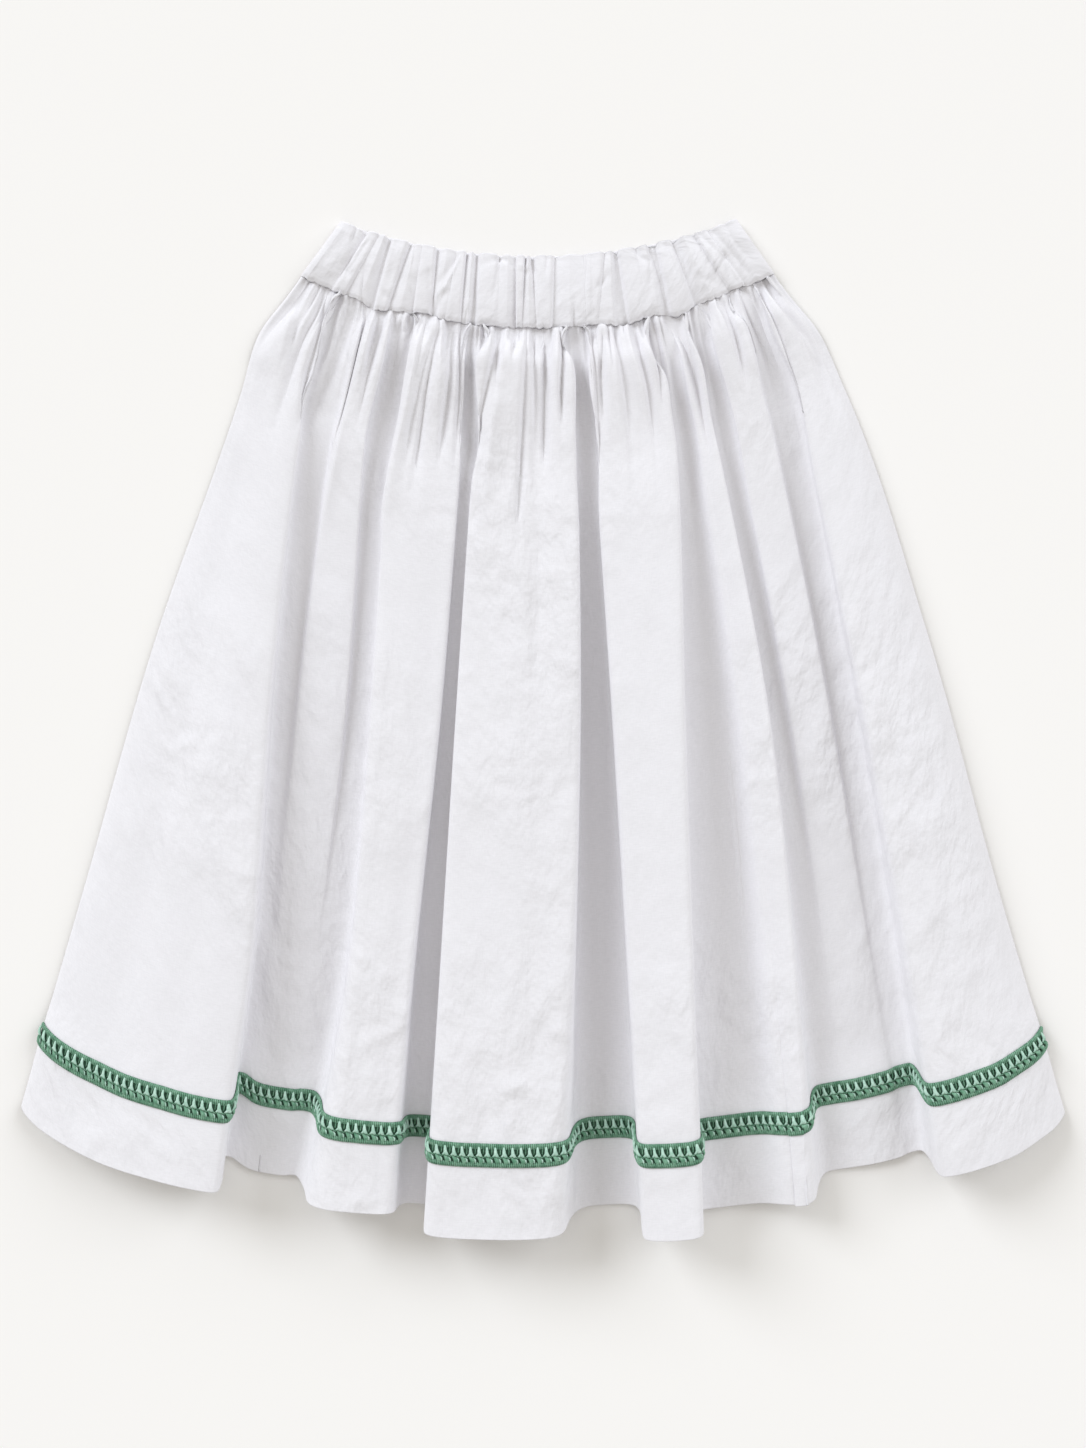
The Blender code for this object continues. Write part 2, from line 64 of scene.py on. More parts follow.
camera = bpy.data.objects.new("camera", bpy.data.cameras.new("camera"))
camera.location = (0.0, 0.0, EYE_HEIGHT)
camera.data.sensor_fit = "VERTICAL"
camera.data.sensor_height = SENSOR_HEIGHT
camera.data.lens = SENSOR_HEIGHT * EYE_HEIGHT / FRAME_HEIGHT
bpy.context.scene.collection.objects.link(camera)
bpy.context.scene.camera = camera
print("camera lens:", round(camera.data.lens, 2), "mm")

# %% Lamps and world
LAMP_COLOUR = (0.87, 0.917, 0.985)
# Name, place in metres, width in degrees, power
LAMPS = (("key", (-2.3, 1.9, 1.6), 30.0, 1.9), ("fill", (2.6, 1.5, 1.7), 40.0, 1.25))
SKY_COLOUR, SKY_STRENGTH = (1.0, 0.98, 0.935, 1.0), 0.64

for lamp_name, lamp_place, lamp_width, lamp_power in LAMPS:
    lamp = bpy.data.lights.new(lamp_name, "SUN")
    lamp.angle = math.radians(lamp_width)
    lamp.energy = lamp_power
    lamp.color = LAMP_COLOUR
    stand = bpy.data.objects.new(lamp_name, lamp)
    stand.location = lamp_place
    stand.rotation_euler = (-Vector(lamp_place)).to_track_quat("-Z", "Y").to_euler()
    bpy.context.scene.collection.objects.link(stand)
world = bpy.data.worlds.new("studio")
world.use_nodes = True
world.node_tree.nodes["Background"].inputs["Color"].default_value = SKY_COLOUR
world.node_tree.nodes["Background"].inputs["Strength"].default_value = SKY_STRENGTH
bpy.context.scene.world = world
bpy.context.scene.view_settings.view_transform = "Standard"
print("lamps:", [row[0] for row in LAMPS])

# %% Floor
FLOOR_REACH, FLOOR_DROP = 3.0, 0.0002
PAPER_COLOUR, PAPER_ROUGHNESS = (0.88, 0.862, 0.84, 1.0), 0.9

ground = bmesh.new()
bmesh.ops.create_grid(ground, x_segments=1, y_segments=1, size=FLOOR_REACH)
bmesh.ops.translate(ground, verts=ground.verts[:], vec=(0.0, 0.0, -FLOOR_DROP))
floor_mesh = bpy.data.meshes.new("floor")
ground.to_mesh(floor_mesh)
ground.free()
floor = bpy.data.objects.new("floor", floor_mesh)
bpy.context.scene.collection.objects.link(floor)
paper = bpy.data.materials.new("pale_paper")
paper.use_nodes = True
paper.node_tree.nodes["Principled BSDF"].inputs["Base Color"].default_value = PAPER_COLOUR
paper.node_tree.nodes["Principled BSDF"].inputs["Roughness"].default_value = PAPER_ROUGHNESS
floor_mesh.materials.append(paper)
print("floor:", 2 * FLOOR_REACH, "m across")

# %% [markdown]
# ## The form of the skirt
# A laid skirt is a fan: a place on it is an angle about the fan's apex and a distance below the
# waist seam. The tables give each fold's edges and height at four distances. It could be draped
# with a cloth simulation, but then the folds would fall where they like. Most of the sizes are
# those of the solids; some edges, valleys and low folds were moved to lie more as the real ones do.

# %% Sizes of the fan, in millimetres and degrees
APEX_X, APEX_Y = -5.805, 853.3
HEM_DISTANCE, HEM_RADIUS = 665.0, 1208.0
# The seam is a shallow curve with a few dips: angle, width and depth of each
SEAM_EDGE_RADIUS, SEAM_SAG = 543.5, 9.5
SEAM_DIPS = ((-12.6, 1.2, 3.5), (-8.6, 1.3, -2.5), (7.1, 1.2, 3.5), (11.3, 1.2, 4.8), (16.2, 1.0, -1.5))
SEAM_HALF, SEAM_SCALLOP = (-19.1, 19.5), 1.3
# Heights of the seam in the middle and at the sides, how much of the folds' places the gathers
# keep at the seam, and the distances over which they take their places and rise
SEAM_TOP, EDGE_TOP, FIRM, SETTLE, RISE = 7.6, 2.95, 0.8, 60.0, 30.0
# Side edges of the skirt: distance, angle of the left and of the right
SIDES = (
    (0.0, -19.1, 19.5), (50.0, -20.6, 21.1), (100.0, -20.35, 21.4),
    (290.0, -20.1, 20.8), (480.0, -19.35, 19.8), (665.0, -18.85, 19.3),
)
# Where the braid lies, and how far and over what length it lifts the cloth that lies on it
TRIM_FROM, TRIM_TO, TRIM_LIFT, TRIM_EASE = 598.0, 615.0, 2.3, 24.0
print("fan's hem:", HEM_RADIUS, "mm from the apex; length below the seam:", HEM_DISTANCE, "mm")

# %% Tables of the folds and the valleys
# Distances below the seam at which the tables give a size
LEVELS = (100.0, 290.0, 480.0, 665.0)
# One row for each edge of a fold: its angle at the levels, and how far its wall is tucked under
# the fold near the waist and at the hem (a wall that slopes out is below 0)
EDGE_NAMES = ("fold", "side", "upper", "middle", "lower", "hem", "tuck_upper", "tuck_hem")
EDGES = (
    ("outer_left", "right", -15.7, -13.5, -11.7, -11.1, 3.0, 5.0),
    ("low_left", "left", -13.5, -12.2, -11.0, -10.3, -1.0, -14.0),
    ("low_left", "right", -11.3, -9.7, -9.2, -9.1, 1.0, -5.0),
    ("inner_left", "left", -9.7, -8.4, -7.65, -7.9, 2.0, -14.0),
    ("inner_left", "right", -4.9, -4.78, -5.0, -5.0, 1.5, -6.0),
    ("centre", "left", -4.1, -4.0, -3.9, -3.85, 3.0, 6.0),
    ("centre", "right", 2.8, 2.3, 1.6, 0.9, 3.0, -14.0),
    ("inner_right", "left", 3.95, 3.9, 3.8, 3.7, 2.0, 1.0),
    ("inner_right", "right", 9.4, 7.6, 6.5, 5.8, 3.0, 9.0),
    ("middle_right", "left", 10.8, 10.3, 9.5, 8.8, -5.0, -16.0),
    ("middle_right", "right", 12.1, 11.8, 10.8, 9.8, 3.0, -12.0),
    ("low_right", "left", 13.4, 12.9, 12.2, 11.6, 0.0, -12.0),
    ("low_right", "right", 15.9, 15.0, 14.0, 13.2, 1.0, -6.0),
    ("outer_right", "left", 17.9, 16.4, 15.2, 14.2, 1.0, -3.0),
)
# One row for each fold: where its share of the seam begins, control points along its crown and up
# each wall, height at the levels, share of that height at the left, centre and right of the crown,
# and how far its hem reaches past the hem's circle
FOLD_NAMES = (
    "fold", "seam", "crown", "wall_left", "wall_right",
    "upper", "middle", "lower", "hem", "left", "centre", "right", "drop",
)
FOLDS = (
    ("outer_left", -19.1, 2, 4, 4, 16.0, 28.0, 35.0, 38.0, 0.55, 0.82, 1.0, 18.0),
    ("low_left", -14.5, 1, 3, 3, 13.0, 9.8, 5.5, 4.5, 1.0, 1.0, 1.0, 3.0),
    ("inner_left", -10.6, 2, 4, 4, 17.0, 30.0, 38.0, 42.0, 1.0, 1.0, 0.9, 15.0),
    ("centre", -4.9, 4, 4, 4, 20.0, 34.0, 42.0, 46.0, 0.98, 1.0, 0.92, 27.0),
    ("inner_right", 2.2, 3, 4, 4, 20.0, 36.0, 44.0, 48.0, 0.92, 1.0, 1.0, 31.0),
    ("middle_right", 7.9, 1, 3, 4, 15.0, 24.0, 27.0, 28.0, 0.85, 0.95, 1.0, 22.0),
    ("low_right", 11.7, 1, 3, 3, 13.0, 10.5, 6.0, 4.8, 1.0, 1.0, 1.0, 6.0),
    ("outer_right", 15.2, 2, 4, 4, 18.0, 30.0, 36.0, 39.0, 1.0, 0.86, 0.62, 21.0),
)
# One row for each valley, by the fold on its left: height at the levels, reach of its hem
VALLEY_NAMES = ("fold", "upper", "middle", "lower", "hem", "drop")
VALLEYS = (
    ("outer_left", 5.4, 3.4, 3.2, 3.2, -4.0),
    ("low_left", 5.4, 4.2, 4.5, 5.0, 1.0),
    ("inner_left", 8.4, 11.0, 10.4, 8.4, 11.0),
    ("centre", 5.2, 3.3, 3.2, 3.2, 11.0),
    ("inner_right", 5.4, 5.0, 5.5, 7.0, 19.0),
    ("middle_right", 5.2, 3.3, 3.2, 3.2, 5.0),
    ("low_right", 5.2, 3.6, 3.3, 3.3, 4.0),
)
# Reach of the hem at the left and at the right corner
CORNER_DROP = (0.0, 8.0)
print("folds:", len(FOLDS), "valleys:", len(VALLEYS))

# %% Smooth curves through the tables


def named(names, rows):
    """Turn the rows of a table into dictionaries."""
    return [dict(zip(names, row)) for row in rows]


def ease(x, start, end):
    """0 before start, 1 after end and a soft step between."""
    t = np.clip((x - start) / (end - start), 0.0, 1.0)
    return t * t * (3.0 - 2.0 * t)


def through(levels, values, at):
    """A smooth curve through the values at the levels, level outside them."""
    x, y = np.asarray(levels, float), np.asarray(values, float)
    slope = np.gradient(y, x)
    at = np.clip(at, x[0], x[-1])
    i = np.clip(np.searchsorted(x, at, side="right") - 1, 0, len(x) - 2)
    step = x[i + 1] - x[i]
    t = (at - x[i]) / step
    start = (2 * t**3 - 3 * t**2 + 1) * y[i] + (t**3 - 2 * t**2 + t) * step * slope[i]
    end = (3 * t**2 - 2 * t**3) * y[i + 1] + (t**3 - t**2) * step * slope[i + 1]
    return start + end


def at_levels(row, distance):
    """A value of a fold's row at the distances below the seam."""
    return through(LEVELS, [row[name] for name in ("upper", "middle", "lower", "hem")], distance)


print("a soft step at a quarter of its way:", ease(0.25, 0.0, 1.0))

# %% Places on the fan
# The seam is scalloped where the gathers enter it; the slower sines make the scallops uneven
SCALLOP_PACE, SCALLOP_DRIFT, SCALLOP_SWELL = 3.9, 0.9, 2.3


def side_angles(distance):
    """Angles of the left and the right side edge."""
    levels = [row[0] for row in SIDES]
    return (through(levels, [row[k] for row in SIDES], distance) for k in (1, 2))


def seam_radius(angle, dipped):
    """Distance of the waistband's seam from the apex; dipped is 1 on the front and 0 on the back."""
    radius = SEAM_EDGE_RADIUS + SEAM_SAG * (1.0 - (angle / SEAM_HALF[1]) ** 2)
    for middle, width, depth in SEAM_DIPS:
        radius = radius + dipped * depth * np.exp(-(((angle - middle) / width) ** 2))
    scallop = np.abs(np.sin(SCALLOP_PACE * angle + 1.3 * np.sin(SCALLOP_DRIFT * angle)))
    scallop = scallop * (0.75 + 0.35 * np.sin(SCALLOP_SWELL * angle))
    return radius + dipped * SEAM_SCALLOP * scallop * ease(SEAM_HALF[1] - np.abs(angle), 0.3, 1.5)


def place(angle, distance, height, drop, dipped):
    """Points of a panel, (..., 3)."""
    share = distance / HEM_DISTANCE
    seam = seam_radius(angle, dipped)
    radius = seam + (HEM_RADIUS - seam) * share + drop * share**2
    turn = np.radians(angle)
    return np.stack([APEX_X + radius * np.sin(turn), APEX_Y - radius * np.cos(turn), height], -1)


def trim_lift(distance):
    """How far the cloth at the bottom is raised where the braid passes under the back."""
    rise = ease(distance, TRIM_FROM - TRIM_EASE, TRIM_FROM)
    return TRIM_LIFT * rise * (1.0 - ease(distance, TRIM_TO, TRIM_TO + TRIM_EASE))


def degree_at(distance):
    """Degrees of the fan for one millimetre across, at a distance below the seam."""
    return np.degrees(1.0 / (HEM_RADIUS - HEM_DISTANCE + distance))


print("seam's radius at the middle:", round(float(seam_radius(0.0, 0.0)), 1), "mm")

# %% Control points of a fold's wall and of the skirt's outer side
# A point half way up a wall: its share of the height, and of how far the wall slopes out
WALL_MIDDLE, WALL_BULGE = 0.42, 0.35
# The lip, where a wall turns into the crown: its greatest width in millimetres, its share of the
# fold's width, and how much of an outward slope it takes up
LIP_WIDEST, LIP_SHARE, LIP_SLOPE = 3.0, 0.06, 0.45
# Its two points: how many widths outside and inside the edge, and shares of the height and drop
LIP_OUT, LIP_LOW, LIP_LOW_DROP = 0.3, 0.92, 0.9
LIP_IN, LIP_HIGH, LIP_HIGH_DROP = 1.2, 1.012, 0.97
# Shares of a fold's width between its edge and the first point of its crown: at a wall, at a side
WALL_INSET, SIDE_INSET = 0.22, 0.28
# The skirt's outer side: millimetres in from the edge and share of the height at two points, then
# shares of the width and height at the shoulder
SIDE_STEPS, SIDE_SHARES, SHOULDER = (0.5, 5.0), (0.1, 0.3), (0.13, 0.72)


def wall_points(edge, row, crown, level, low_drop, width, distance):
    """Control points from the foot of a wall, at its valley's level and drop, up to the crown."""
    degree, top = degree_at(distance), crown * row[edge["side"]]
    outwards = 1 if edge["side"] == "right" else -1
    near_hem = np.clip(distance / HEM_DISTANCE, 0.0, 1.0)
    tuck = edge["tuck_upper"] + (edge["tuck_hem"] - edge["tuck_upper"]) * near_hem**3
    angle = at_levels(edge, distance)
    middle = angle - outwards * WALL_BULGE * np.minimum(tuck, 0.0) * degree
    made = [(angle - outwards * tuck * degree, level, low_drop)]
    if row["wall_" + edge["side"]] == 4:
        made.append((middle, level + WALL_MIDDLE * (top - level), 0.5 * (low_drop + row["drop"])))
    lip = (np.minimum(LIP_WIDEST, LIP_SHARE * width) + LIP_SLOPE * np.maximum(0.0, -tuck)) * degree
    low, high = level + LIP_LOW * (top - level), level + LIP_HIGH * (top - level)
    made.append((angle + outwards * LIP_OUT * lip, low, LIP_LOW_DROP * row["drop"]))
    made.append((angle - outwards * LIP_IN * lip, high, LIP_HIGH_DROP * row["drop"]))
    made.append((angle - outwards * WALL_INSET * width * degree, top, row["drop"]))
    return made


def side_points(which, row, crown, edge_angle, width, distance):
    """Control points of the soft left or right side of the skirt, from its edge to the crown."""
    degree, top = degree_at(distance), crown * row[which]
    corner_drop, inwards = (CORNER_DROP[0], 1) if which == "left" else (CORNER_DROP[1], -1)
    low, high = (EDGE_TOP + share * (top - EDGE_TOP) for share in SIDE_SHARES)
    shoulder_drop = 0.55 * row["drop"] + 0.3 * corner_drop
    return [
        (edge_angle + inwards * SIDE_STEPS[0] * degree, low, corner_drop),
        (edge_angle + inwards * SIDE_STEPS[1] * degree, high, 0.8 * corner_drop + 0.2 * row["drop"]),
        (edge_angle + inwards * SHOULDER[0] * width * degree, SHOULDER[1] * top, shoulder_drop),
        (edge_angle + inwards * SIDE_INSET * width * degree, top, 0.8 * row["drop"]),
    ]


print("points of a wall:", sorted({row["wall_left"] for row in named(FOLD_NAMES, FOLDS)}))

# %% Crowd the points into the seam
# Heights under which a fold is raised wholly by the back's braid, and over which not at all
LIFTED_BELOW, LIFTED_TO = 6.0, 30.0


def crowded(points, starts, distance):
    """The points spread evenly over their fold's share of the seam; below it they take their places."""
    angle, height, drop = (
        np.stack([entry[part] + 0.0 * distance for entry in points], -1) for part in range(3)
    )
    order = np.arange(len(points))
    at_seam = np.interp(order, [entry[0] for entry in starts], [entry[1] for entry in starts])
    from_side = np.minimum(order, len(points) - 1 - order)
    seam_height = EDGE_TOP + (SEAM_TOP - EDGE_TOP) * ease(from_side, -1.0, 3.0)
    seam_height[[0, -1]] = EDGE_TOP
    settled = (FIRM + (1.0 - FIRM) * ease(distance, 0.0, SETTLE))[:, None]
    angle = at_seam + (angle - at_seam) * settled
    height = seam_height + (height - seam_height) * ease(distance, 0.0, RISE)[:, None]
    low = 1.0 - ease(height, LIFTED_BELOW, LIFTED_TO)
    return angle, height + trim_lift(distance)[:, None] * low, drop


print("braid's lift at its middle:", round(float(trim_lift(0.5 * (TRIM_FROM + TRIM_TO))), 1), "mm")

# %% Control points across the front


def front_controls(distance):
    """Angle, height and hem drop of the control points of the front's sections, (rows, points)."""
    degree = degree_at(distance)
    edges = {(row["fold"], row["side"]): row for row in named(EDGE_NAMES, EDGES)}
    valleys = {row["fold"]: row for row in named(VALLEY_NAMES, VALLEYS)}
    side_left, side_right = side_angles(distance)
    points = [(side_left, EDGE_TOP, CORNER_DROP[0])]
    starts = [(0, SEAM_HALF[0])]
    floor_height, floor_drop, last_foot = EDGE_TOP, CORNER_DROP[0], None
    for row in named(FOLD_NAMES, FOLDS):
        crown = at_levels(row, distance)
        left_edge, right_edge = (edges.get((row["fold"], which)) for which in ("left", "right"))
        left = side_left if left_edge is None else at_levels(left_edge, distance)
        right = side_right if right_edge is None else at_levels(right_edge, distance)
        width = (right - left) / degree
        if left_edge is None:
            points += side_points("left", row, crown, side_left, width, distance)
        else:
            risen = wall_points(left_edge, row, crown, floor_height, floor_drop, width, distance)
            starts.append((len(points), row["seam"]))
            points.append((0.5 * (last_foot + risen[0][0]), floor_height, floor_drop))
            points += risen
        for step in range(row["crown"]):
            along = (step + 1) / (row["crown"] + 1)
            share = np.interp(along, (0.0, 0.5, 1.0), (row["left"], row["centre"], row["right"]))
            inset = SIDE_INSET if left_edge is None else WALL_INSET
            outset = SIDE_INSET if right_edge is None else WALL_INSET
            span = inset + along * (1.0 - inset - outset)
            points.append((left + span * width * degree, crown * share, row["drop"]))
        if right_edge is None:
            points += side_points("right", row, crown, side_right, width, distance)[::-1]
        else:
            valley = valleys[row["fold"]]
            floor_height, floor_drop = at_levels(valley, distance), valley["drop"]
            fallen = wall_points(right_edge, row, crown, floor_height, floor_drop, width, distance)
            points += fallen[::-1]
            last_foot = fallen[0][0]
    points.append((side_right, EDGE_TOP, CORNER_DROP[1]))
    starts.append((len(points) - 1, SEAM_HALF[1]))
    return crowded(points, starts, distance)


print("control points across the front:", front_controls(np.array([0.0]))[0].shape[1])

# %% Blend the control points into a surface


def blend_matrix(count, steps):
    """Rows of weights that draw a smooth curve near the control points, met at both ends."""
    spans = count - 1
    weights = np.zeros((spans * steps + 1, count + 2))
    for k in range(spans * steps + 1):
        i = min(k // steps, spans - 1)
        t = k / steps - i
        weights[k, i : i + 4] = (
            (1 - t) ** 3 / 6,
            (3 * t**3 - 6 * t**2 + 4) / 6,
            (3 * t + 3 * t**2 - 3 * t**3 + 1) / 6,
            t**3 / 6,
        )
    inner = weights[:, 1:-1].copy()
    inner[:, 0] += 2 * weights[:, 0]
    inner[:, 1] -= weights[:, 0]
    inner[:, -1] += 2 * weights[:, -1]
    inner[:, -2] -= weights[:, -1]
    return inner


def normals(points):
    """Unit normals of a grid of points, (rows, columns, 3)."""
    normal = np.cross(np.gradient(points, axis=0), np.gradient(points, axis=1))
    return normal / np.linalg.norm(normal, axis=-1, keepdims=True)


print("columns for each span of 8 steps:", blend_matrix(2, 8).shape[0] - 1)

# %% [markdown]
# ## Creases
# At the waist the cloth is crowded into small puckers, which join into fewer and deeper gathers
# and then into the large folds. A crease could be drawn with a bump texture, but the deep ones
# cast shadows, so they are in the mesh. Each is listed by its places from the seam down, and the small
# puckers between them differ a little in place, depth and length.

# %% Creases and puckers of the front
# One row for each crease: its places (distance, angle), depth and half width; a depth below 0 is
# a ridge
CREASE_LINES = (
    (((0, -17.6), (33, -18.1), (60, -18.2)), 1.2, 3.5),
    (((5, -18.8), (35, -18.3), (65, -17.8)), 1.3, 4.0),
    (((2, -16.3), (67, -16.3), (92, -15.8)), 3.0, 4.5),
    (((3, -14.3), (37, -14.8), (80, -15.3)), 2.8, 3.5),
    (((8, -13.0), (78, -13.1), (155, -12.9)), -1.0, 4.0),
    (((10, -11.9), (50, -12.1), (75, -12.1)), 1.4, 2.6),
    (((12, -10.65), (45, -10.4), (83, -10.5), (117, -10.8)), 3.0, 3.4),
    (((70, -10.2), (149, -9.7)), 1.0, 3.0),
    (((5, -8.4), (55, -8.95), (113, -9.3), (160, -9.3)), -1.2, 4.0),
    (((15, -7.8), (45, -8.2), (83, -8.5), (110, -8.5)), 1.4, 3.0),
    (((10, -7.5), (60, -7.8), (105, -7.8), (120, -7.8)), 1.7, 2.4),
    (((4, -5.2), (55, -4.75), (95, -4.5)), 3.0, 4.0),
    (((20, -3.0), (70, -3.8), (105, -4.1)), 1.6, 2.6),
    (((12, -1.9), (38, -2.6), (87, -3.0), (145, -3.4)), -1.2, 4.0),
    (((6, 0.9), (45, 0.7), (100, 0.6)), 2.6, 3.0),
    (((6, -6.4), (40, -6.2), (95, -6.3)), 2.4, 3.0),
    (((18, -0.7), (85, -0.9), (145, -1.1)), 1.8, 2.6),
    (((0, 0.0), (150, 0.2), (260, 0.1)), 2.6, 9.0),
    (((10, 2.1), (50, 1.85), (70, 1.8)), 2.6, 2.8),
    (((3, 2.95), (35, 3.15), (88, 3.35), (130, 3.15)), 3.2, 4.6),
    (((8, 5.2), (38, 4.8), (70, 4.7)), 2.4, 3.0),
    (((12, 6.85), (48, 6.95), (77, 7.3), (105, 7.1)), 2.6, 7.0),
    (((8, 9.07), (35, 9.1), (65, 8.9)), 1.9, 3.2),
    (((3, 10.6), (40, 10.2), (90, 10.1), (130, 9.9)), 3.0, 4.0),
    (((8, 11.6), (60, 11.4)), 1.2, 2.6),
    (((3, 12.95), (45, 12.95), (87, 12.8), (130, 12.7)), 3.0, 4.0),
    (((5, 14.9), (30, 15.1), (60, 14.95)), 2.0, 3.2),
    (((2, 16.7), (35, 17.0), (90, 17.15), (130, 16.9)), 3.0, 4.6),
    (((0, 18.6), (60, 20.45), (95, 20.3)), 1.3, 5.0),
    (((150, -18.7), (300, -17.4), (480, -16.6), (640, -16.2)), 2.4, 15.0),
    (((430, -14.2), (560, -13.9), (665, -13.6)), 1.5, 12.0),
    (((230, 6.1), (420, 5.1), (600, 4.7)), 1.2, 9.0),
    (((480, -1.9), (600, -1.8), (665, -1.8)), 1.6, 14.0),
    (((260, 17.9), (430, 16.9), (600, 16.4)), 2.0, 13.0),
    (((480, -6.9), (665, -6.6)), 1.0, 9.0),
)
# One row for each set of puckers: how many, the seed of their chance, depth and length
PUCKER_SETS = ((30, 7, 12.0, 84.0), (62, 5, 5.0, 32.0))
print("creases placed by hand:", len(CREASE_LINES), "puckers:", sum(row[0] for row in PUCKER_SETS))

# %% Relief of the creases and puckers
# A narrow crease counts for more than a wide one, and is steeper on its left side
NARROW = 5.5
NARROW_STRENGTH, WIDE_STRENGTH = 3.0, 1.2
STEEP_SIDE, GENTLE_SIDE = 1.5, 0.75
CREASE_SHARPNESS, PUCKER_SHARPNESS = 1.4, 1.3
# A crease fades in from this far before its first place to this far after it, and out around its
# last place, over a share of its length or the longest fade
FADE_BEFORE, FADE_AFTER = 6.0, 5.0
LONGEST_FADE, FADE_SHARE = 24.0, 0.45


def crease_relief(lines, angle, distance, degree):
    """Height of the creases at an angle and a distance, in millimetres along the cloth's normal."""
    total = 0.0 * angle
    for places, depth, half_width in lines:
        first, last = places[0][0], places[-1][0]
        strength = NARROW_STRENGTH if half_width < NARROW else WIDE_STRENGTH
        middle = np.interp(distance, [p[0] for p in places], [p[1] for p in places])
        reach = min(LONGEST_FADE, FADE_SHARE * (last - first))
        shown = ease(distance, first - FADE_BEFORE, first + FADE_AFTER)
        shown = shown * (1.0 - ease(distance, last - reach, last + reach))
        off = (angle - middle) / (half_width * degree)
        if half_width < NARROW:
            off = np.where(off < 0.0, STEEP_SIDE * off, GENTLE_SIDE * off)
        total = total - depth * strength * shown * np.exp(-(np.abs(off) ** CREASE_SHARPNESS))
    return total


def pucker_relief(across, distance, count, seed, depth, length):
    """Small puckers below the seam; across goes from 0 to 1 along the seam."""
    chance = np.random.default_rng(seed)
    total = 0.0 * across * distance
    for k in range(count):
        middle = (k + 0.5 + chance.uniform(-0.32, 0.32)) / count
        deep = depth * chance.uniform(0.45, 1.0)
        long = length * chance.choice([0.35, 0.6, 0.9, 1.6])
        lean = chance.uniform(-0.25, 0.25) / count
        half = chance.uniform(0.19, 0.3) / count
        off = (across - middle - lean * distance / long) / half
        off = np.where(off > 0.0, off * chance.uniform(0.45, 0.8), off * chance.uniform(1.2, 1.9))
        faded = 1.0 - ease(distance, 0.2 * long, long)
        total = total - deep * np.exp(-(np.abs(off) ** PUCKER_SHARPNESS)) * faded
    return total


middle_depth = crease_relief(CREASE_LINES[2:3], -16.3, 60.0, degree_at(60.0))
print("depth of the third crease half way:", round(float(-middle_depth), 1), "mm")

# %% [markdown]
# ## Cloth from a grid
# Cloth is woven on a grid, so each panel starts as Blender's grid, and its vertices are moved
# onto the rows of the surface. Its faces could be listed one by one, but the grid has them in
# order already. The UV map is measured over the cloth in metres, so the weave has its real size
# everywhere, and a Solidify modifier gives the thickness, inwards.

# %% Turn a bmesh into a finished piece


def finish_piece(made, name, looks, node, uv, wall=0.0):
    """Make the object, give it its UV map, its finish and its wall, and let it ride on the frame."""
    mesh = bpy.data.meshes.new(name)
    made.to_mesh(mesh)
    made.free()
    for look in looks:
        mesh.materials.append(look)
    mesh.shade_smooth()
    corner = np.empty(len(mesh.loops), dtype=np.int32)
    mesh.loops.foreach_get("vertex_index", corner)
    layer = mesh.uv_layers.new(name="cloth")
    layer.data.foreach_set("uv", np.asarray(uv, dtype=np.float32)[corner].ravel())
    thing = bpy.data.objects.new(name, mesh)
    bpy.context.scene.collection.objects.link(thing)
    if wall:
        shell = thing.modifiers.new("wall", "SOLIDIFY")
        shell.thickness = wall * METRE
        shell.offset = -1.0
        shell.use_rim = True
    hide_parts(node)
    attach(thing, "root")
    print(name, "vertices:", len(mesh.vertices), "faces:", len(mesh.polygons))
    return thing


# %% A grid on rows of points, and its UV map


def grid_on(points):
    """A grid whose vertices are moved onto rows of points in millimetres."""
    rows, columns = points.shape[:2]
    made = bmesh.new()
    bmesh.ops.create_grid(made, x_segments=columns - 1, y_segments=rows - 1, size=1.0)
    made.verts.ensure_lookup_table()
    for vertex, point in zip(made.verts, points.reshape(-1, 3)):
        vertex.co = point * METRE
    return made


def cloth_uv(points):
    """Metres along each row from its middle, and metres along the length."""
    steps = np.linalg.norm(np.diff(points, axis=1), axis=-1)
    across = np.concatenate([np.zeros((len(points), 1)), np.cumsum(steps, axis=1)], axis=1)
    across = across - across[:, across.shape[1] // 2][:, None]
    middle = points[:, points.shape[1] // 2]
    along = np.concatenate([[0.0], np.cumsum(np.linalg.norm(np.diff(middle, axis=0), axis=-1))])
    return np.stack([across, along[:, None] + 0.0 * across], -1).reshape(-1, 2) * METRE


flat_x, flat_y = np.meshgrid((0.0, 10.0, 20.0), (0.0, 10.0))
flat_uv = cloth_uv(np.stack([flat_x, flat_y, 0.0 * flat_x], -1))
print("UV map of a flat sheet of 20 by 10 mm:", flat_uv.round(3).tolist())

# %% [markdown]
# ## Cotton
# The cotton is a plain weave with uneven yarn: fine slubs run across and along, and faint
# crumples stay from folding. A photograph of cloth could be wrapped on it, but a pattern made
# from noise never repeats and keeps its size. One node group makes the weave and one the
# crumples, and each material places them with its own values.

# %% Helpers for nodes


def new_group(name, inputs, outputs):
    """An empty shader node group with named sockets."""
    group = bpy.data.node_groups.new(name, "ShaderNodeTree")
    for label, kind in inputs:
        group.interface.new_socket(label, in_out="INPUT", socket_type=kind)
    for label, kind in outputs:
        group.interface.new_socket(label, in_out="OUTPUT", socket_type=kind)
    return group, group.nodes.new("NodeGroupInput"), group.nodes.new("NodeGroupOutput")


def add_node(tree, kind, settings=None, values=None):
    """A node with its settings and the values of its inputs."""
    node = tree.nodes.new(kind)
    for label, setting in (settings or {}).items():
        setattr(node, label, setting)
    for label, number in (values or {}).items():
        node.inputs[label].default_value = number
    return node


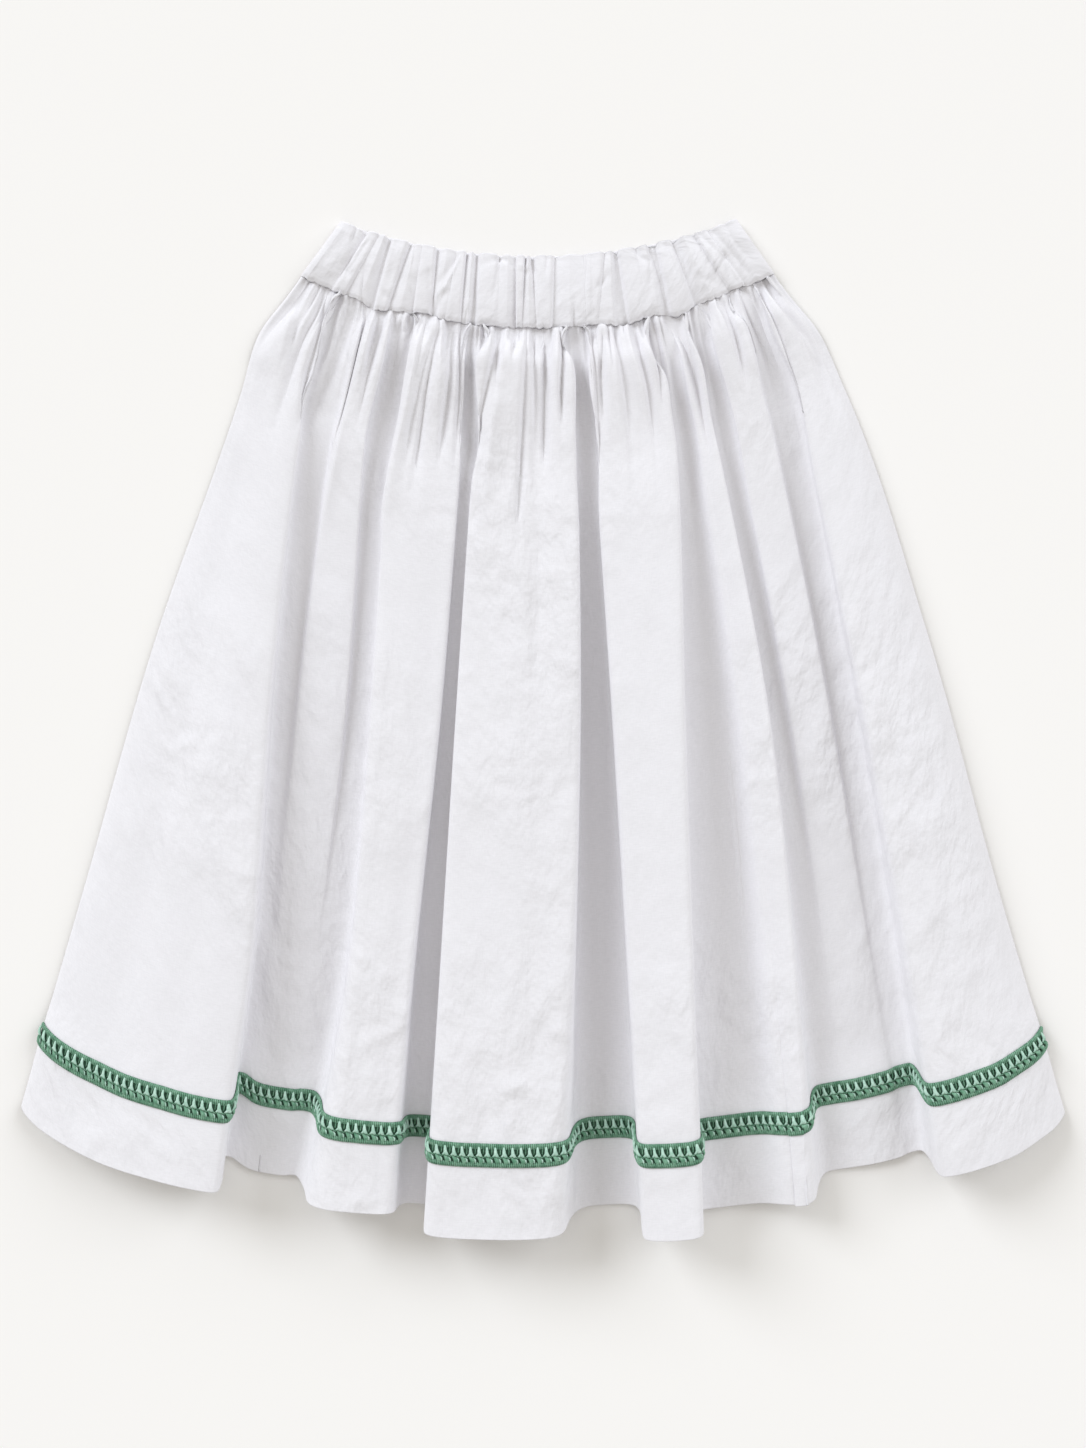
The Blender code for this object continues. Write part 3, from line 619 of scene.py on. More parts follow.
def streaks(tree, source, scale, detail):
    """Noise that is stretched by its scale along and across the cloth."""
    turn = add_node(tree, "ShaderNodeMapping", values={"Scale": scale})
    noise = add_node(tree, "ShaderNodeTexNoise", {"noise_dimensions": "2D"}, {"Scale": 1.0, "Detail": detail})
    tree.links.new(source, turn.inputs["Vector"])
    tree.links.new(turn.outputs["Vector"], noise.inputs["Vector"])
    return noise.outputs["Fac"]


def blended(tree, first, second, operation="ADD", third=None):
    """A math node of two or three values, each a socket or a number."""
    node = add_node(tree, "ShaderNodeMath", {"operation": operation})
    for slot_index, value in enumerate((first, second, third)):
        if value is None:
            continue
        if isinstance(value, (int, float)):
            node.inputs[slot_index].default_value = value
        else:
            tree.links.new(value, node.inputs[slot_index])
    return node.outputs["Value"]


VECTOR, FLOAT = "NodeSocketVector", "NodeSocketFloat"
print("kinds of socket:", VECTOR, FLOAT)

# %% The weave: threads that cross, and slubs in them
THREAD = 0.00055  # metres from one thread to the next but one
WEFT_SLUBS, WARP_SLUBS = (170.0, 1150.0, 1.0), (1250.0, 210.0, 1.0)
WEFT_SHARE, WARP_SHARE, THREAD_RELIEF = 0.62, 0.38, 0.12
weave, weave_in, weave_out = new_group(
    "cotton weave", [("Cloth", VECTOR)], [("Slub", FLOAT), ("Height", FLOAT)]
)
weft = streaks(weave, weave_in.outputs["Cloth"], WEFT_SLUBS, 2.0)
warp = streaks(weave, weave_in.outputs["Cloth"], WARP_SLUBS, 1.0)
split = add_node(weave, "ShaderNodeSeparateXYZ")
weave.links.new(weave_in.outputs["Cloth"], split.inputs["Vector"])
over = blended(weave, blended(weave, split.outputs["X"], 2 * math.pi / THREAD, "MULTIPLY"), 0.0, "SINE")
under = blended(weave, blended(weave, split.outputs["Y"], 2 * math.pi / THREAD, "MULTIPLY"), 0.0, "SINE")
threads = blended(weave, over, under, "MULTIPLY")
weft_part = blended(weave, weft, WEFT_SHARE, "MULTIPLY")
slub = blended(weave, weft_part, blended(weave, warp, WARP_SHARE, "MULTIPLY"))
weave.links.new(slub, weave_out.inputs["Slub"])
weave.links.new(blended(weave, threads, THREAD_RELIEF, "MULTIPLY_ADD", slub), weave_out.inputs["Height"])
print("nodes in the weave:", len(weave.nodes))

# %% The crumples: soft dents and a few sharp lines, in patches
SHARP_SHARE = 0.3
crumples, crumples_in, crumples_out = new_group(
    "pressed crumples", [("Cloth", VECTOR), ("Size", FLOAT)], [("Height", FLOAT)]
)
sized = add_node(crumples, "ShaderNodeVectorMath", {"operation": "SCALE"})
crumples.links.new(crumples_in.outputs["Cloth"], sized.inputs["Vector"])
crumples.links.new(crumples_in.outputs["Size"], sized.inputs["Scale"])
sharp = add_node(
    crumples, "ShaderNodeTexNoise", {"noise_dimensions": "2D", "noise_type": "RIDGED_MULTIFRACTAL"},
    {"Scale": 1.0, "Detail": 2.0, "Distortion": 0.6},
)
crumples.links.new(sized.outputs["Vector"], sharp.inputs["Vector"])
soft = streaks(crumples, sized.outputs["Vector"], (1.3, 0.8, 1.0), 4.0)
where_crumpled = streaks(crumples, sized.outputs["Vector"], (0.22, 0.22, 1.0), 1.0)
patches = add_node(
    crumples, "ShaderNodeMapRange", values={"From Min": 0.35, "From Max": 0.65, "To Min": 0.25}
)
crumples.links.new(where_crumpled, patches.inputs["Value"])
folded = blended(crumples, sharp.outputs["Fac"], SHARP_SHARE, "MULTIPLY_ADD", soft)
patchy = blended(crumples, folded, patches.outputs["Result"], "MULTIPLY")
crumples.links.new(patchy, crumples_out.inputs["Height"])
print("groups:", [group.name for group in bpy.data.node_groups])

# %% A soft shader, and two colours that follow a value


def soft_material(name, finish):
    """A material with the finish's values; gives the material, its tree, its shader and its UV map."""
    made = bpy.data.materials.new(name)
    made.use_nodes = True
    shader = made.node_tree.nodes["Principled BSDF"]
    for label, amount in finish.items():
        shader.inputs[label].default_value = amount
    return made, made.node_tree, shader, add_node(made.node_tree, "ShaderNodeUVMap", {"uv_map": "cloth"})


def two_colours(tree, value, low, high, dark, light, shader):
    """The shader's colour goes from dark to light while the value goes from low to high."""
    ramp = add_node(tree, "ShaderNodeMapRange", values={"From Min": low, "From Max": high})
    colour = add_node(tree, "ShaderNodeMix", {"data_type": "RGBA"})
    colour.inputs["A"].default_value = dark
    colour.inputs["B"].default_value = light
    tree.links.new(value, ramp.inputs["Value"])
    tree.links.new(ramp.outputs["Result"], colour.inputs["Factor"])
    tree.links.new(colour.outputs["Result"], shader.inputs["Base Color"])


COTTON_FINISH = {
    "Roughness": 0.92, "Sheen Weight": 0.12, "Sheen Roughness": 0.55, "Specular IOR Level": 0.25,
}
print("cotton's finish:", COTTON_FINISH)

# %% Cotton for each panel
COTTON_DARK, COTTON_LIGHT = (0.742, 0.731, 0.753, 1.0), (0.812, 0.798, 0.824, 1.0)
WEAVE_DEPTH = 0.05


def cotton(name, crumple_size, crumple_depth):
    """White cotton: the crumples' size is in repeats for each metre and their depth in millimetres."""
    made, tree, shader, where = soft_material(name, COTTON_FINISH)
    yarn = add_node(tree, "ShaderNodeGroup", {"node_tree": weave})
    fold = add_node(tree, "ShaderNodeGroup", {"node_tree": crumples}, {"Size": crumple_size})
    tree.links.new(where.outputs["UV"], yarn.inputs["Cloth"])
    tree.links.new(where.outputs["UV"], fold.inputs["Cloth"])
    two_colours(tree, yarn.outputs["Slub"], 0.2, 0.8, COTTON_DARK, COTTON_LIGHT, shader)
    big = add_node(tree, "ShaderNodeBump", values={"Strength": 1.0, "Distance": crumple_depth * METRE})
    fine = add_node(tree, "ShaderNodeBump", values={"Strength": 1.0, "Distance": WEAVE_DEPTH * METRE})
    tree.links.new(fold.outputs["Height"], big.inputs["Height"])
    tree.links.new(yarn.outputs["Height"], fine.inputs["Height"])
    tree.links.new(big.outputs["Normal"], fine.inputs["Normal"])
    tree.links.new(fine.outputs["Normal"], shader.inputs["Normal"])
    return made


cotton_front = cotton("cotton_front", 24.0, 6.5)
cotton_back = cotton("cotton_back", 20.0, 5.0)
cotton_waistband = cotton("cotton_waistband", 34.0, 4.4)
print("cotton materials:", cotton_front.name, cotton_back.name, cotton_waistband.name)

# %% [markdown]
# ## Front panel
# The front lies on top, so it shows the gathers, the eight large folds and the deep valleys
# between them. It could be sculpted by brush, but a form worked out from the tables can be
# measured and mended. Its rows are close together under the waist, where the puckers are, and
# wider apart below. The cloth dips into the seam, which draws the dark line there.

# %% Rows of the front, and its surface
FRONT_STEPS = 8
# Distances of the rows below the seam
FRONT_ROWS = np.concatenate([
    [-0.15, 0.4, 1.2, 2.2], np.linspace(4.5, 120.0, 36)[:-1], np.linspace(120.0, 560.0, 28)[:-1],
    np.linspace(560.0, 660.0, 14), [663.0, 664.5, 665.0],
])
# Gathered cloth stands up from the seam by this much, over these distances
GATHER_RISE, GATHER_BEGIN, GATHER_FULL, GATHER_LEAVE, GATHER_GONE = 4.8, -10.0, 10.0, 30.0, 90.0
SEAM_GROOVE, SEAM_GROOVE_WIDTH = 1.2, 1.8
# Height that a crease keeps above the surface, for the back panel, and the least room it has
BACK_ROOM, LEAST_ROOM = 3.2, 0.15
# Puckers grow to their full depth between these distances
PUCKER_BEGIN, PUCKER_FULL = -9.0, 6.0
# The two side edges lean down to the back's edges, which they are sewn to, and have no creases.
# The lean and the plain strip end this far in, where SIDE_UNITS are a panel's whole width.
EDGE_LEAN, SIDE_UNITS, LEAN_END, PLAIN_END = 1.0, 60.0, 1.2, 1.5


def front_surface(distance, steps, creased=True):
    """Points of the front's outer side, with or without its creases."""
    angle, height, drop = front_controls(distance)
    weights = blend_matrix(angle.shape[1], steps)
    angle, height, drop = angle @ weights.T, height @ weights.T, drop @ weights.T
    below = distance[:, None] + 0.0 * angle
    points = place(angle, below, height, drop, 1.0)
    if not creased:
        return points
    relief = crease_relief(CREASE_LINES, angle, below, degree_at(below))
    # Puckers start from their places on the first row; the rows under the braid are below them all
    if distance[0] < 1.0:
        at_seam = (angle[:1] - SEAM_HALF[0]) / (SEAM_HALF[1] - SEAM_HALF[0])
        for count, seed, depth, length in PUCKER_SETS:
            puckers = pucker_relief(at_seam + 0.0 * below, below, count, seed, depth, length)
            relief = relief + puckers * ease(below, PUCKER_BEGIN, PUCKER_FULL)
        risen = GATHER_RISE * ease(below, GATHER_BEGIN, GATHER_FULL)
        relief = relief + risen * (1.0 - ease(below, GATHER_LEAVE, GATHER_GONE))
        relief = relief - SEAM_GROOVE * np.exp(-((below / SEAM_GROOVE_WIDTH) ** 2))
    span = np.linspace(0.0, 1.0, angle.shape[1])[None, :]
    from_side = SIDE_UNITS * np.minimum(span, 1.0 - span)
    room = np.maximum(height - BACK_ROOM, LEAST_ROOM)
    relief = np.where(relief < 0.0, room * np.tanh(relief / room), relief)
    relief = relief * ease(from_side, 0.0, PLAIN_END)
    points = points + relief[..., None] * normals(points)
    points[..., 2] -= EDGE_LEAN * (1.0 - ease(from_side, 0.0, LEAN_END))
    return points


front_points = front_surface(FRONT_ROWS, FRONT_STEPS)
print("front's rows and columns:", front_points.shape[:2])

# %% Front cloth
CLOTH_WALL = 0.75
# How many rows under the waist keep all their columns, and the distance that they are gathered to
FINE_ROW_COUNT, GATHERED_TO = 37, 90.0


def thin_columns(made, rows, columns, fine_rows):
    """Dissolve every second column below the finely gathered rows; the grid runs from the hem up."""
    doomed = []
    for edge in made.edges:
        low, high = sorted(vertex.index for vertex in edge.verts)
        if high - low == columns and high // columns < rows - fine_rows and low % columns % 2:
            doomed.append(edge)
    bmesh.ops.dissolve_edges(made, edges=doomed, use_verts=True, use_face_split=False)


front_grid = grid_on(front_points[::-1])
front_layer = front_grid.verts.layers.float_vector.new("cloth_place")
# The UV map is measured on the form without its creases. Gathers crowd the cloth and don't stretch
# it, so each column keeps its place across from the gathers up to the seam.
smooth_front = front_surface(FRONT_ROWS, FRONT_STEPS, False)
spots = cloth_uv(smooth_front[::-1]).reshape(*front_points.shape[:2], 2)
gathered = int(np.sum(FRONT_ROWS > GATHERED_TO))
spots[gathered:, :, 0] = spots[gathered - 1, :, 0]
for vertex, spot in zip(front_grid.verts, spots.reshape(-1, 2)):
    vertex[front_layer] = (*spot, 0.0)
thin_columns(front_grid, *front_points.shape[:2], FINE_ROW_COUNT)
front_uv = np.array([vertex[front_layer][:2] for vertex in front_grid.verts])
front_cloth = finish_piece(
    front_grid, "front_cloth", [cotton_front], "front_panel", uv=front_uv, wall=CLOTH_WALL
)

# %% [markdown]
# ## Back panel
# The back lies under the front, flat on the surface where it rests, with soft folds that stand up
# inside the front's. It could be a plain sheet, because little of it shows from above, but the
# hem, the sides and the underside are seen from other angles, so it has gathers and creases too.

# %% Tables of the back
BACK_STEPS = 5
BACK_HEM_SHORT, BACK_SETTLE = 4.0, 85.0
BACK_ROWS = np.concatenate([
    np.linspace(0.2, 60.0, 22)[:-1], np.linspace(60.0, 560.0, 30)[:-1], np.linspace(560.0, 660.0, 13),
    [663.0, 664.5, 665.0],
])
# How far the back's hem reaches past the circle: angle, reach
BACK_DROP = (
    (-19.0, 0.0), (-10.7, -3.0), (-8.0, 5.0), (-4.5, 12.0), (9.0, 12.0), (12.8, 5.0), (19.3, 8.0),
)
# One row for each soft fold, which stands up inside the front's: angle at the waist and at the
# hem, half width and height; it rises between two distances
RIDGE_NAMES = ("upper", "hem", "half_width", "height")
RIDGES = (
    (-18.2, -17.0, 13.0, 8.0), (-15.0, -13.4, 15.0, 9.0), (-7.0, -6.3, 15.0, 10.0),
    (-0.8, -1.5, 19.0, 11.0), (6.6, 4.8, 12.0, 10.0), (11.1, 8.1, 12.0, 8.0), (18.8, 16.4, 15.0, 9.0),
)
RIDGE_BEGIN, RIDGE_FULL = 90.0, 420.0
# Shares of its width at the waist and added down to the hem, and where its columns stand in it
RIDGE_WIDTH, RIDGE_GROWTH = 0.55, 0.45
RIDGE_STATIONS = (-1.0, -0.62, -0.25, 0.25, 0.62, 1.0)
# Creases of the back, as the front's; all are ridges
BACK_LINES = (
    (((0, -16.2), (60, -17.0), (160, -17.2)), -1.3, 5.0),
    (((0, -13.0), (70, -13.2), (210, -12.6)), -1.5, 6.0),
    (((0, -10.0), (50, -10.4), (120, -10.3)), -1.2, 4.0),
    (((0, -6.1), (60, -6.0), (260, -5.7)), -1.5, 6.0),
    (((0, -3.4), (40, -3.6), (130, -3.7)), -1.1, 4.0),
    (((0, 1.9), (80, 2.0), (230, 2.3)), -1.5, 6.0),
    (((0, 4.6), (50, 4.8), (140, 4.7)), -1.2, 4.5),
    (((0, 8.9), (60, 9.3), (200, 9.0)), -1.4, 5.0),
    (((0, 12.8), (60, 13.4), (240, 13.1)), -1.5, 6.0),
    (((0, 16.4), (50, 17.2), (150, 17.4)), -1.3, 5.0),
    (((300, -9.6), (480, -8.9), (640, -9.4)), -0.9, 9.0),
    (((340, 1.9), (520, 1.4), (665, 1.9)), -0.9, 10.0),
    (((280, 13.9), (450, 12.9), (600, 12.4)), -0.9, 9.0),
)
# Puckers of the back: how high the cloth is gathered, and how many, seed, depth and length
BACK_GATHER, BACK_PUCKERS = 1.7, (44, 11, 1.7, 46.0)
BACK_GATHER_LEAVE, BACK_GATHER_GONE = 10.0, 48.0
# The two side edges stand up a little, to meet the front's
BACK_EDGE_RISE = 1.1
# Heights under which the cloth is raised wholly by the braid, and over which not at all
BACK_LIFTED_BELOW, BACK_LIFTED_TO = 3.0, 12.0
print("back's soft folds:", len(RIDGES), "creases:", len(BACK_LINES))

# %% Back cloth


def ridge_place(row, share, degree):
    """Middle and half width of a soft fold, in degrees, at a share of the length."""
    middle = row["upper"] + (row["hem"] - row["upper"]) * share
    return middle, row["half_width"] * (RIDGE_WIDTH + RIDGE_GROWTH * share) * degree


def back_surface(distance, steps):
    """Points of the back's outer side, which faces down, from the left edge to the right."""
    degree = degree_at(distance)
    share = np.clip(distance / HEM_DISTANCE, 0.0, 1.0)
    left, right = side_angles(distance)
    stations, last = [left], left
    for row in named(RIDGE_NAMES, RIDGES):
        middle, half = ridge_place(row, share, degree)
        stations.append(0.5 * (last + middle - half))
        stations += [middle + part * half for part in RIDGE_STATIONS]
        last = middle + half
    stations += [0.5 * (last + right), right]
    stations = np.stack([entry + 0.0 * distance for entry in stations], -1)
    count = stations.shape[1]
    even = np.linspace(SEAM_HALF[0], SEAM_HALF[1], count)
    stations = even + (stations - even) * ease(distance, 0.0, BACK_SETTLE)[:, None]
    fine = np.linspace(0, count - 1, (count - 1) * steps + 1)
    angle = np.stack([np.interp(fine, np.arange(count), row) for row in stations])
    below = distance[:, None] + 0.0 * angle
    height = 0.0 * angle
    for row in named(RIDGE_NAMES, RIDGES):
        middle, half = ridge_place(row, share, degree)
        off = np.clip((angle - middle[:, None]) / half[:, None], -1.0, 1.0)
        bulge = row["height"] * (0.5 + 0.5 * np.cos(math.pi * off))
        height += bulge * ease(below, RIDGE_BEGIN, RIDGE_FULL)
    across = fine[None, :] / (count - 1)
    from_side = SIDE_UNITS * np.minimum(across, 1.0 - across)
    height = height + crease_relief(BACK_LINES, angle, below, degree_at(below)) * ease(from_side, 0.0, 2.0)
    puckers = BACK_GATHER + pucker_relief(across + 0.0 * below, below, *BACK_PUCKERS)
    gathered = 1.0 - ease(below, BACK_GATHER_LEAVE, BACK_GATHER_GONE)
    height = height + puckers * gathered * ease(from_side, 0.0, 2.0)
    height = height + trim_lift(below) * (1.0 - ease(height, BACK_LIFTED_BELOW, BACK_LIFTED_TO))
    height = height + BACK_EDGE_RISE * (1.0 - ease(from_side, 0.0, LEAN_END))
    reach = np.interp(angle, [row[0] for row in BACK_DROP], [row[1] for row in BACK_DROP])
    return place(angle, below, np.maximum(height, 0.0), reach - BACK_HEM_SHORT, 0.0)


back_points = back_surface(BACK_ROWS, BACK_STEPS)
back_facing = back_points[::-1, ::-1]
back_cloth = finish_piece(
    grid_on(back_facing), "back_cloth", [cotton_back], "back_panel",
    uv=cloth_uv(back_facing), wall=CLOTH_WALL,
)

# %% [markdown]
# ## Waistband
# The waistband is a casing: a strip of the same cotton folded double, with elastic inside that
# crowds it into upright creases. It could be a tube that a modifier squeezes flat, but then no
# crease could be given its place. So it is a ring of columns, with rows up its outside, over its
# top edge and down its inside. Each crease leans from its place at the seam to its place at the
# top edge, and between the creases the cloth puffs out.

# %% Tables of the casing
# Wall of the front and of the sides, with the elastic in it
BAND_WALL, BAND_SIDE_WALL = 4.7, 2.4
BAND_TOP_RADIUS, BAND_TOP_SAG, BAND_TOP_HALF = 495.5, 3.8, (-17.4, 18.0)
# Height of the casing as it lies, how far it puffs out, and how much lower its two edges are
BAND_HEIGHT, BAND_PUFF, BAND_TOP_LOWER, BAND_SEAM_LOWER = 9.4, 1.6, 0.8, 1.4
BAND_GAP = 0.4
# Columns from one crease to the next; a crease is steep on one side and gentle on the other
BAND_COLUMNS = 26
GROOVE_STEEP, GROOVE_GENTLE, GROOVE_SCALE = 5.0, 1.15, 2.3
HIGHEST_BULGE, DEEPEST_DENT = -1.3, 4.4
# One row for each crease: angle at the top edge and at the seam, depth, and how much deeper it
# is at the top edge than at the seam
CREASE_NAMES = ("top", "seam", "depth", "fade")
CREASES = (
    (-15.3, -16.8, 1.0, 0.3), (-14.2, -15.6, 0.9, -0.4), (-13.15, -13.2, 2.3, 0.1), (-11.3, -12.0, 1.9, 0.2),
    (-10.2, -10.0, 0.9, -0.5), (-8.8, -8.4, 1.7, 0.0), (-7.1, -7.3, 0.5, 0.4), (-6.15, -6.0, 1.5, 0.3),
    (-5.2, -5.0, 2.3, 0.0), (-3.2, -3.0, 0.5, 0.7), (-1.75, -1.6, 1.6, -0.2), (-0.9, -1.1, 1.2, 0.5),
    (-0.3, 0.1, 1.3, 0.5), (1.75, 1.4, 1.5, 0.1), (4.3, 4.1, 0.7, 0.4), (6.2, 5.0, 0.8, 0.5),
    (7.25, 7.4, 2.3, 0.0), (9.0, 9.2, 0.4, 0.6), (10.8, 10.75, 2.3, -0.1), (12.4, 13.1, 2.3, 0.1),
    (14.4, 16.0, 1.2, 0.2), (15.7, 17.4, 0.9, 0.3),
)
# Dents from one place to another: angle and share of the height, twice, then depth and half width
DENTS = (
    (-15.0, 0.98, -15.9, 0.25, 1.5, 2.6), (-14.55, 0.85, -15.5, 0.3, 1.1, 2.4),
    (-15.6, 0.36, -15.2, 0.3, 1.2, 1.3), (-12.5, 0.24, -11.8, 0.18, 1.4, 1.4),
    (-12.2, 0.95, -11.9, 0.45, 1.3, 4.5), (-10.2, 0.3, -10.0, 0.24, 1.0, 1.2),
    (-8.9, 0.6, -8.3, 0.05, 1.4, 2.2), (-6.5, 0.9, -7.4, 0.46, -1.2, 1.1),
    (-7.4, 0.46, -8.1, 0.28, -1.2, 1.1), (-7.5, 0.34, -7.9, 0.06, 1.6, 2.4),
    (-6.8, 0.9, -7.9, 0.5, 1.2, 2.2), (-4.6, 0.86, -3.1, 0.95, 1.3, 1.5),
    (-3.1, 0.99, -2.0, 0.88, 1.2, 1.3), (-1.6, 0.82, -0.5, 0.87, -1.3, 1.0),
    (-0.3, 0.95, -0.6, 0.75, 1.6, 1.4), (0.3, 0.12, -0.3, 0.01, 1.3, 1.2),
    (4.9, 0.98, 4.6, 0.1, 1.0, 2.6), (6.1, 0.68, 5.2, 0.52, 1.4, 2.0),
    (6.7, 0.95, 6.6, 0.3, 1.2, 3.0), (8.7, 0.97, 9.4, 0.8, 1.7, 2.4),
    (9.95, 0.97, 10.55, 0.35, 1.9, 1.3), (11.4, 0.96, 11.7, 0.55, 1.1, 2.0),
    (12.1, 0.98, 12.5, 0.6, 1.2, 1.4), (14.5, 0.96, 15.9, 0.5, 1.7, 3.2),
    (15.9, 0.5, 16.3, 0.12, 1.4, 3.0), (15.7, 0.95, 17.4, 0.2, 1.3, 2.2),
    (13.6, 0.35, 14.6, 0.22, 1.0, 2.4), (17.2, 0.62, 17.9, 0.4, 0.9, 2.2),
    (8.3, 0.1, 10.2, 0.16, -0.9, 2.4), (-4.2, 0.1, -3.2, 0.1, -1.0, 2.0),
)
# Millimetres in one degree and in the casing's whole height, and how sharp a dent is
DEGREE_WIDTH, CASING_TALL, DENT_SHARPNESS = 9.1, 48.0, 1.5
# Short creases from the top edge and from the seam: how many, seed, whether from the top
SHORT_SETS = ((14, 3, True), (9, 5, False))
SHORT_FROM, SHORT_SPAN = -18.2, 36.8
# Each side of the casing is a half round: where it starts and ends, in degrees, and its columns
SIDE_BEND, SIDE_COLUMNS = 78.0, 9
# The casing's back has even ripples: how many, columns in each, height
BACK_CREASES, RIPPLE_COLUMNS, RIPPLE_HEIGHT = 24, 6, 0.55
print("creases of the casing:", len(CREASES), "dents:", len(DENTS))

# %% Short creases and dents of the casing


def short_creases(angle, share, count, seed, from_top):
    """Short creases that start at the top edge or at the seam and fade out."""
    chance = np.random.default_rng(seed)
    total = 0.0 * angle
    away = 1.0 - share if from_top else share
    for k in range(count):
        middle = SHORT_FROM + SHORT_SPAN * (k + chance.uniform(-0.4, 1.4)) / count
        deep, reach = chance.uniform(0.6, 2.0), chance.uniform(0.25, 1.0)
        half = chance.uniform(0.09, 0.15)
        off = (angle - middle - chance.uniform(-0.9, 0.9) * away) / half
        off = np.where(off > 0.0, off * chance.uniform(0.3, 0.8), off * chance.uniform(0.9, 1.3))
        faded = 1.0 - ease(away, 0.3 * reach, reach)
        total = total + deep * np.exp(-(np.abs(off) ** CREASE_SHARPNESS)) * faded
    return total


def dent_depth(angle, share):
    """Depth of the dents at an angle and a share of the height, in millimetres."""
    total = 0.0 * angle
    for angle_1, share_1, angle_2, share_2, deep, half in DENTS:
        run, rise = (angle_2 - angle_1) * DEGREE_WIDTH, (share_2 - share_1) * CASING_TALL
        across, up = (angle - angle_1) * DEGREE_WIDTH, (share - share_1) * CASING_TALL
        along = np.clip((across * run + up * rise) / (run**2 + rise**2), 0.0, 1.0)
        away = np.hypot(across - along * run, up - along * rise) / half
        total = total + deep * np.exp(-(away**DENT_SHARPNESS))
    return total


print("depth of the first dent at its top end:", round(float(dent_depth(*DENTS[0][:2])), 2), "mm")

# %% The casing's outline at one height


def band_section(share):
    """The casing's outline at a share of its height, and where on it the front and the creases are."""
    creases = named(CREASE_NAMES, CREASES)
    top = [BAND_TOP_HALF[0]] + [row["top"] for row in creases] + [BAND_TOP_HALF[1]]
    seam = [SEAM_HALF[0]] + [row["seam"] for row in creases] + [SEAM_HALF[1]]
    depth = [0.0] + [row["depth"] for row in creases] + [0.0]
    fade = [0.0] + [row["fade"] for row in creases] + [0.0]
    order = np.arange(len(top))
    column = np.linspace(0.0, len(top) - 1, (len(top) - 1) * BAND_COLUMNS + 1)[1:-1]
    nearest = np.round(column)
    depths = np.interp(nearest, order, depth) * (1.0 + np.interp(nearest, order, fade) * (2.0 * share - 1.0))
    off = column - nearest
    steep = np.where(off * np.where(nearest % 2 > 0, 1.0, -1.0) > 0.0, GROOVE_STEEP, GROOVE_GENTLE)
    groove = (1.0 - 2.0 * np.abs(off)) ** steep * depths * GROOVE_SCALE
    crown = BAND_HEIGHT + BAND_PUFF * ease(share, 0.0, 0.3) * (1.0 - ease(share, 0.6, 1.0))
    crown = crown - BAND_TOP_LOWER * ease(share, 0.85, 1.0)
    crown = crown - BAND_SEAM_LOWER * (1.0 - ease(share, 0.0, 0.06))
    left, right = (SEAM_HALF[i] + (BAND_TOP_HALF[i] - SEAM_HALF[i]) * share for i in (0, 1))
    degree = math.degrees(1.0 / (SEAM_EDGE_RADIUS + (BAND_TOP_RADIUS - SEAM_EDGE_RADIUS) * share))
    turn = BAND_HEIGHT / 2.0 * degree
    bends = np.radians(np.linspace(SIDE_BEND, -SIDE_BEND, SIDE_COLUMNS))
    angle = np.interp(column, order, seam) * (1.0 - share) + np.interp(column, order, top) * share
    middle = 0.5 * (left + right)
    angle = middle + (angle - middle) * (1.0 - 2.0 * turn / (right - left))
    from_top, from_seam = (short_creases(angle, share, *row) for row in SHORT_SETS)
    small = from_top + from_seam + dent_depth(angle, share)
    inside = ease(np.minimum(angle - left, right - angle), turn, 3.0 * turn)
    front_height = crown - np.clip(groove + small, HIGHEST_BULGE, DEEPEST_DENT) * inside
    back_count = BACK_CREASES * RIPPLE_COLUMNS + 1
    back_angle = np.linspace(right - turn, left + turn, back_count)
    ripple = 2.0 * math.pi * np.arange(back_count) / RIPPLE_COLUMNS
    back_height = RIPPLE_HEIGHT * (1.0 - np.cos(ripple))
    side_height = crown / 2.0 * (1.0 + np.sin(bends))
    inset = turn * (1.0 - np.cos(bends))
    side, back = 0.0 * bends, 0.0 * back_angle
    return {
        "angle": np.concatenate([angle, right - inset, back_angle, (left + inset)[::-1]]),
        "height": np.concatenate([front_height, side_height, back_height, side_height[::-1]]),
        "smooth": np.concatenate([crown + 0.0 * angle, side_height, back, side_height[::-1]]),
        "groove": np.concatenate([(groove + small) * inside, side, back_height, side]),
        "front": np.concatenate([0.0 * angle + 1.0, side, back, side]),
        "inside": np.concatenate([inside, side, back, side]),
        "degree": degree,
    }


print("columns around the casing:", len(band_section(0.5)["angle"]))

# %% The casing's inner side, and its points


def inner_outline(section):
    """The casing's inner side: its smooth outline moved in by the wall, which is thin at the sides."""
    wall = BAND_SIDE_WALL + (BAND_WALL - BAND_SIDE_WALL) * section["inside"]
    across, height = section["angle"] / section["degree"], section["smooth"]
    way = np.stack([np.roll(across, -1) - np.roll(across, 1), np.roll(height, -1) - np.roll(height, 1)])
    way = way / np.maximum(np.linalg.norm(way, axis=0), 1e-6)
    return section["angle"] + way[1] * wall * section["degree"], height - way[0] * wall


NOTCH = 0.55  # how far the top edge draws in at a crease, for each millimetre of its depth


def band_place(share, section, angle, height):
    """Points of the casing; the top edge draws in at each crease."""
    bottom = seam_radius(angle, section["front"]) - BAND_GAP / 2.0
    top = BAND_TOP_RADIUS + BAND_TOP_SAG * (1.0 - (angle / BAND_TOP_HALF[1]) ** 2)
    top = top + NOTCH * section["groove"] * ease(share, 0.7, 1.0)
    radius = bottom + (top - bottom) * share
    turn = np.radians(angle)
    return np.stack([APEX_X + radius * np.sin(turn), APEX_Y - radius * np.cos(turn), height], -1)


print("notch of the top edge at a crease 2 mm deep:", 2.0 * NOTCH, "mm")

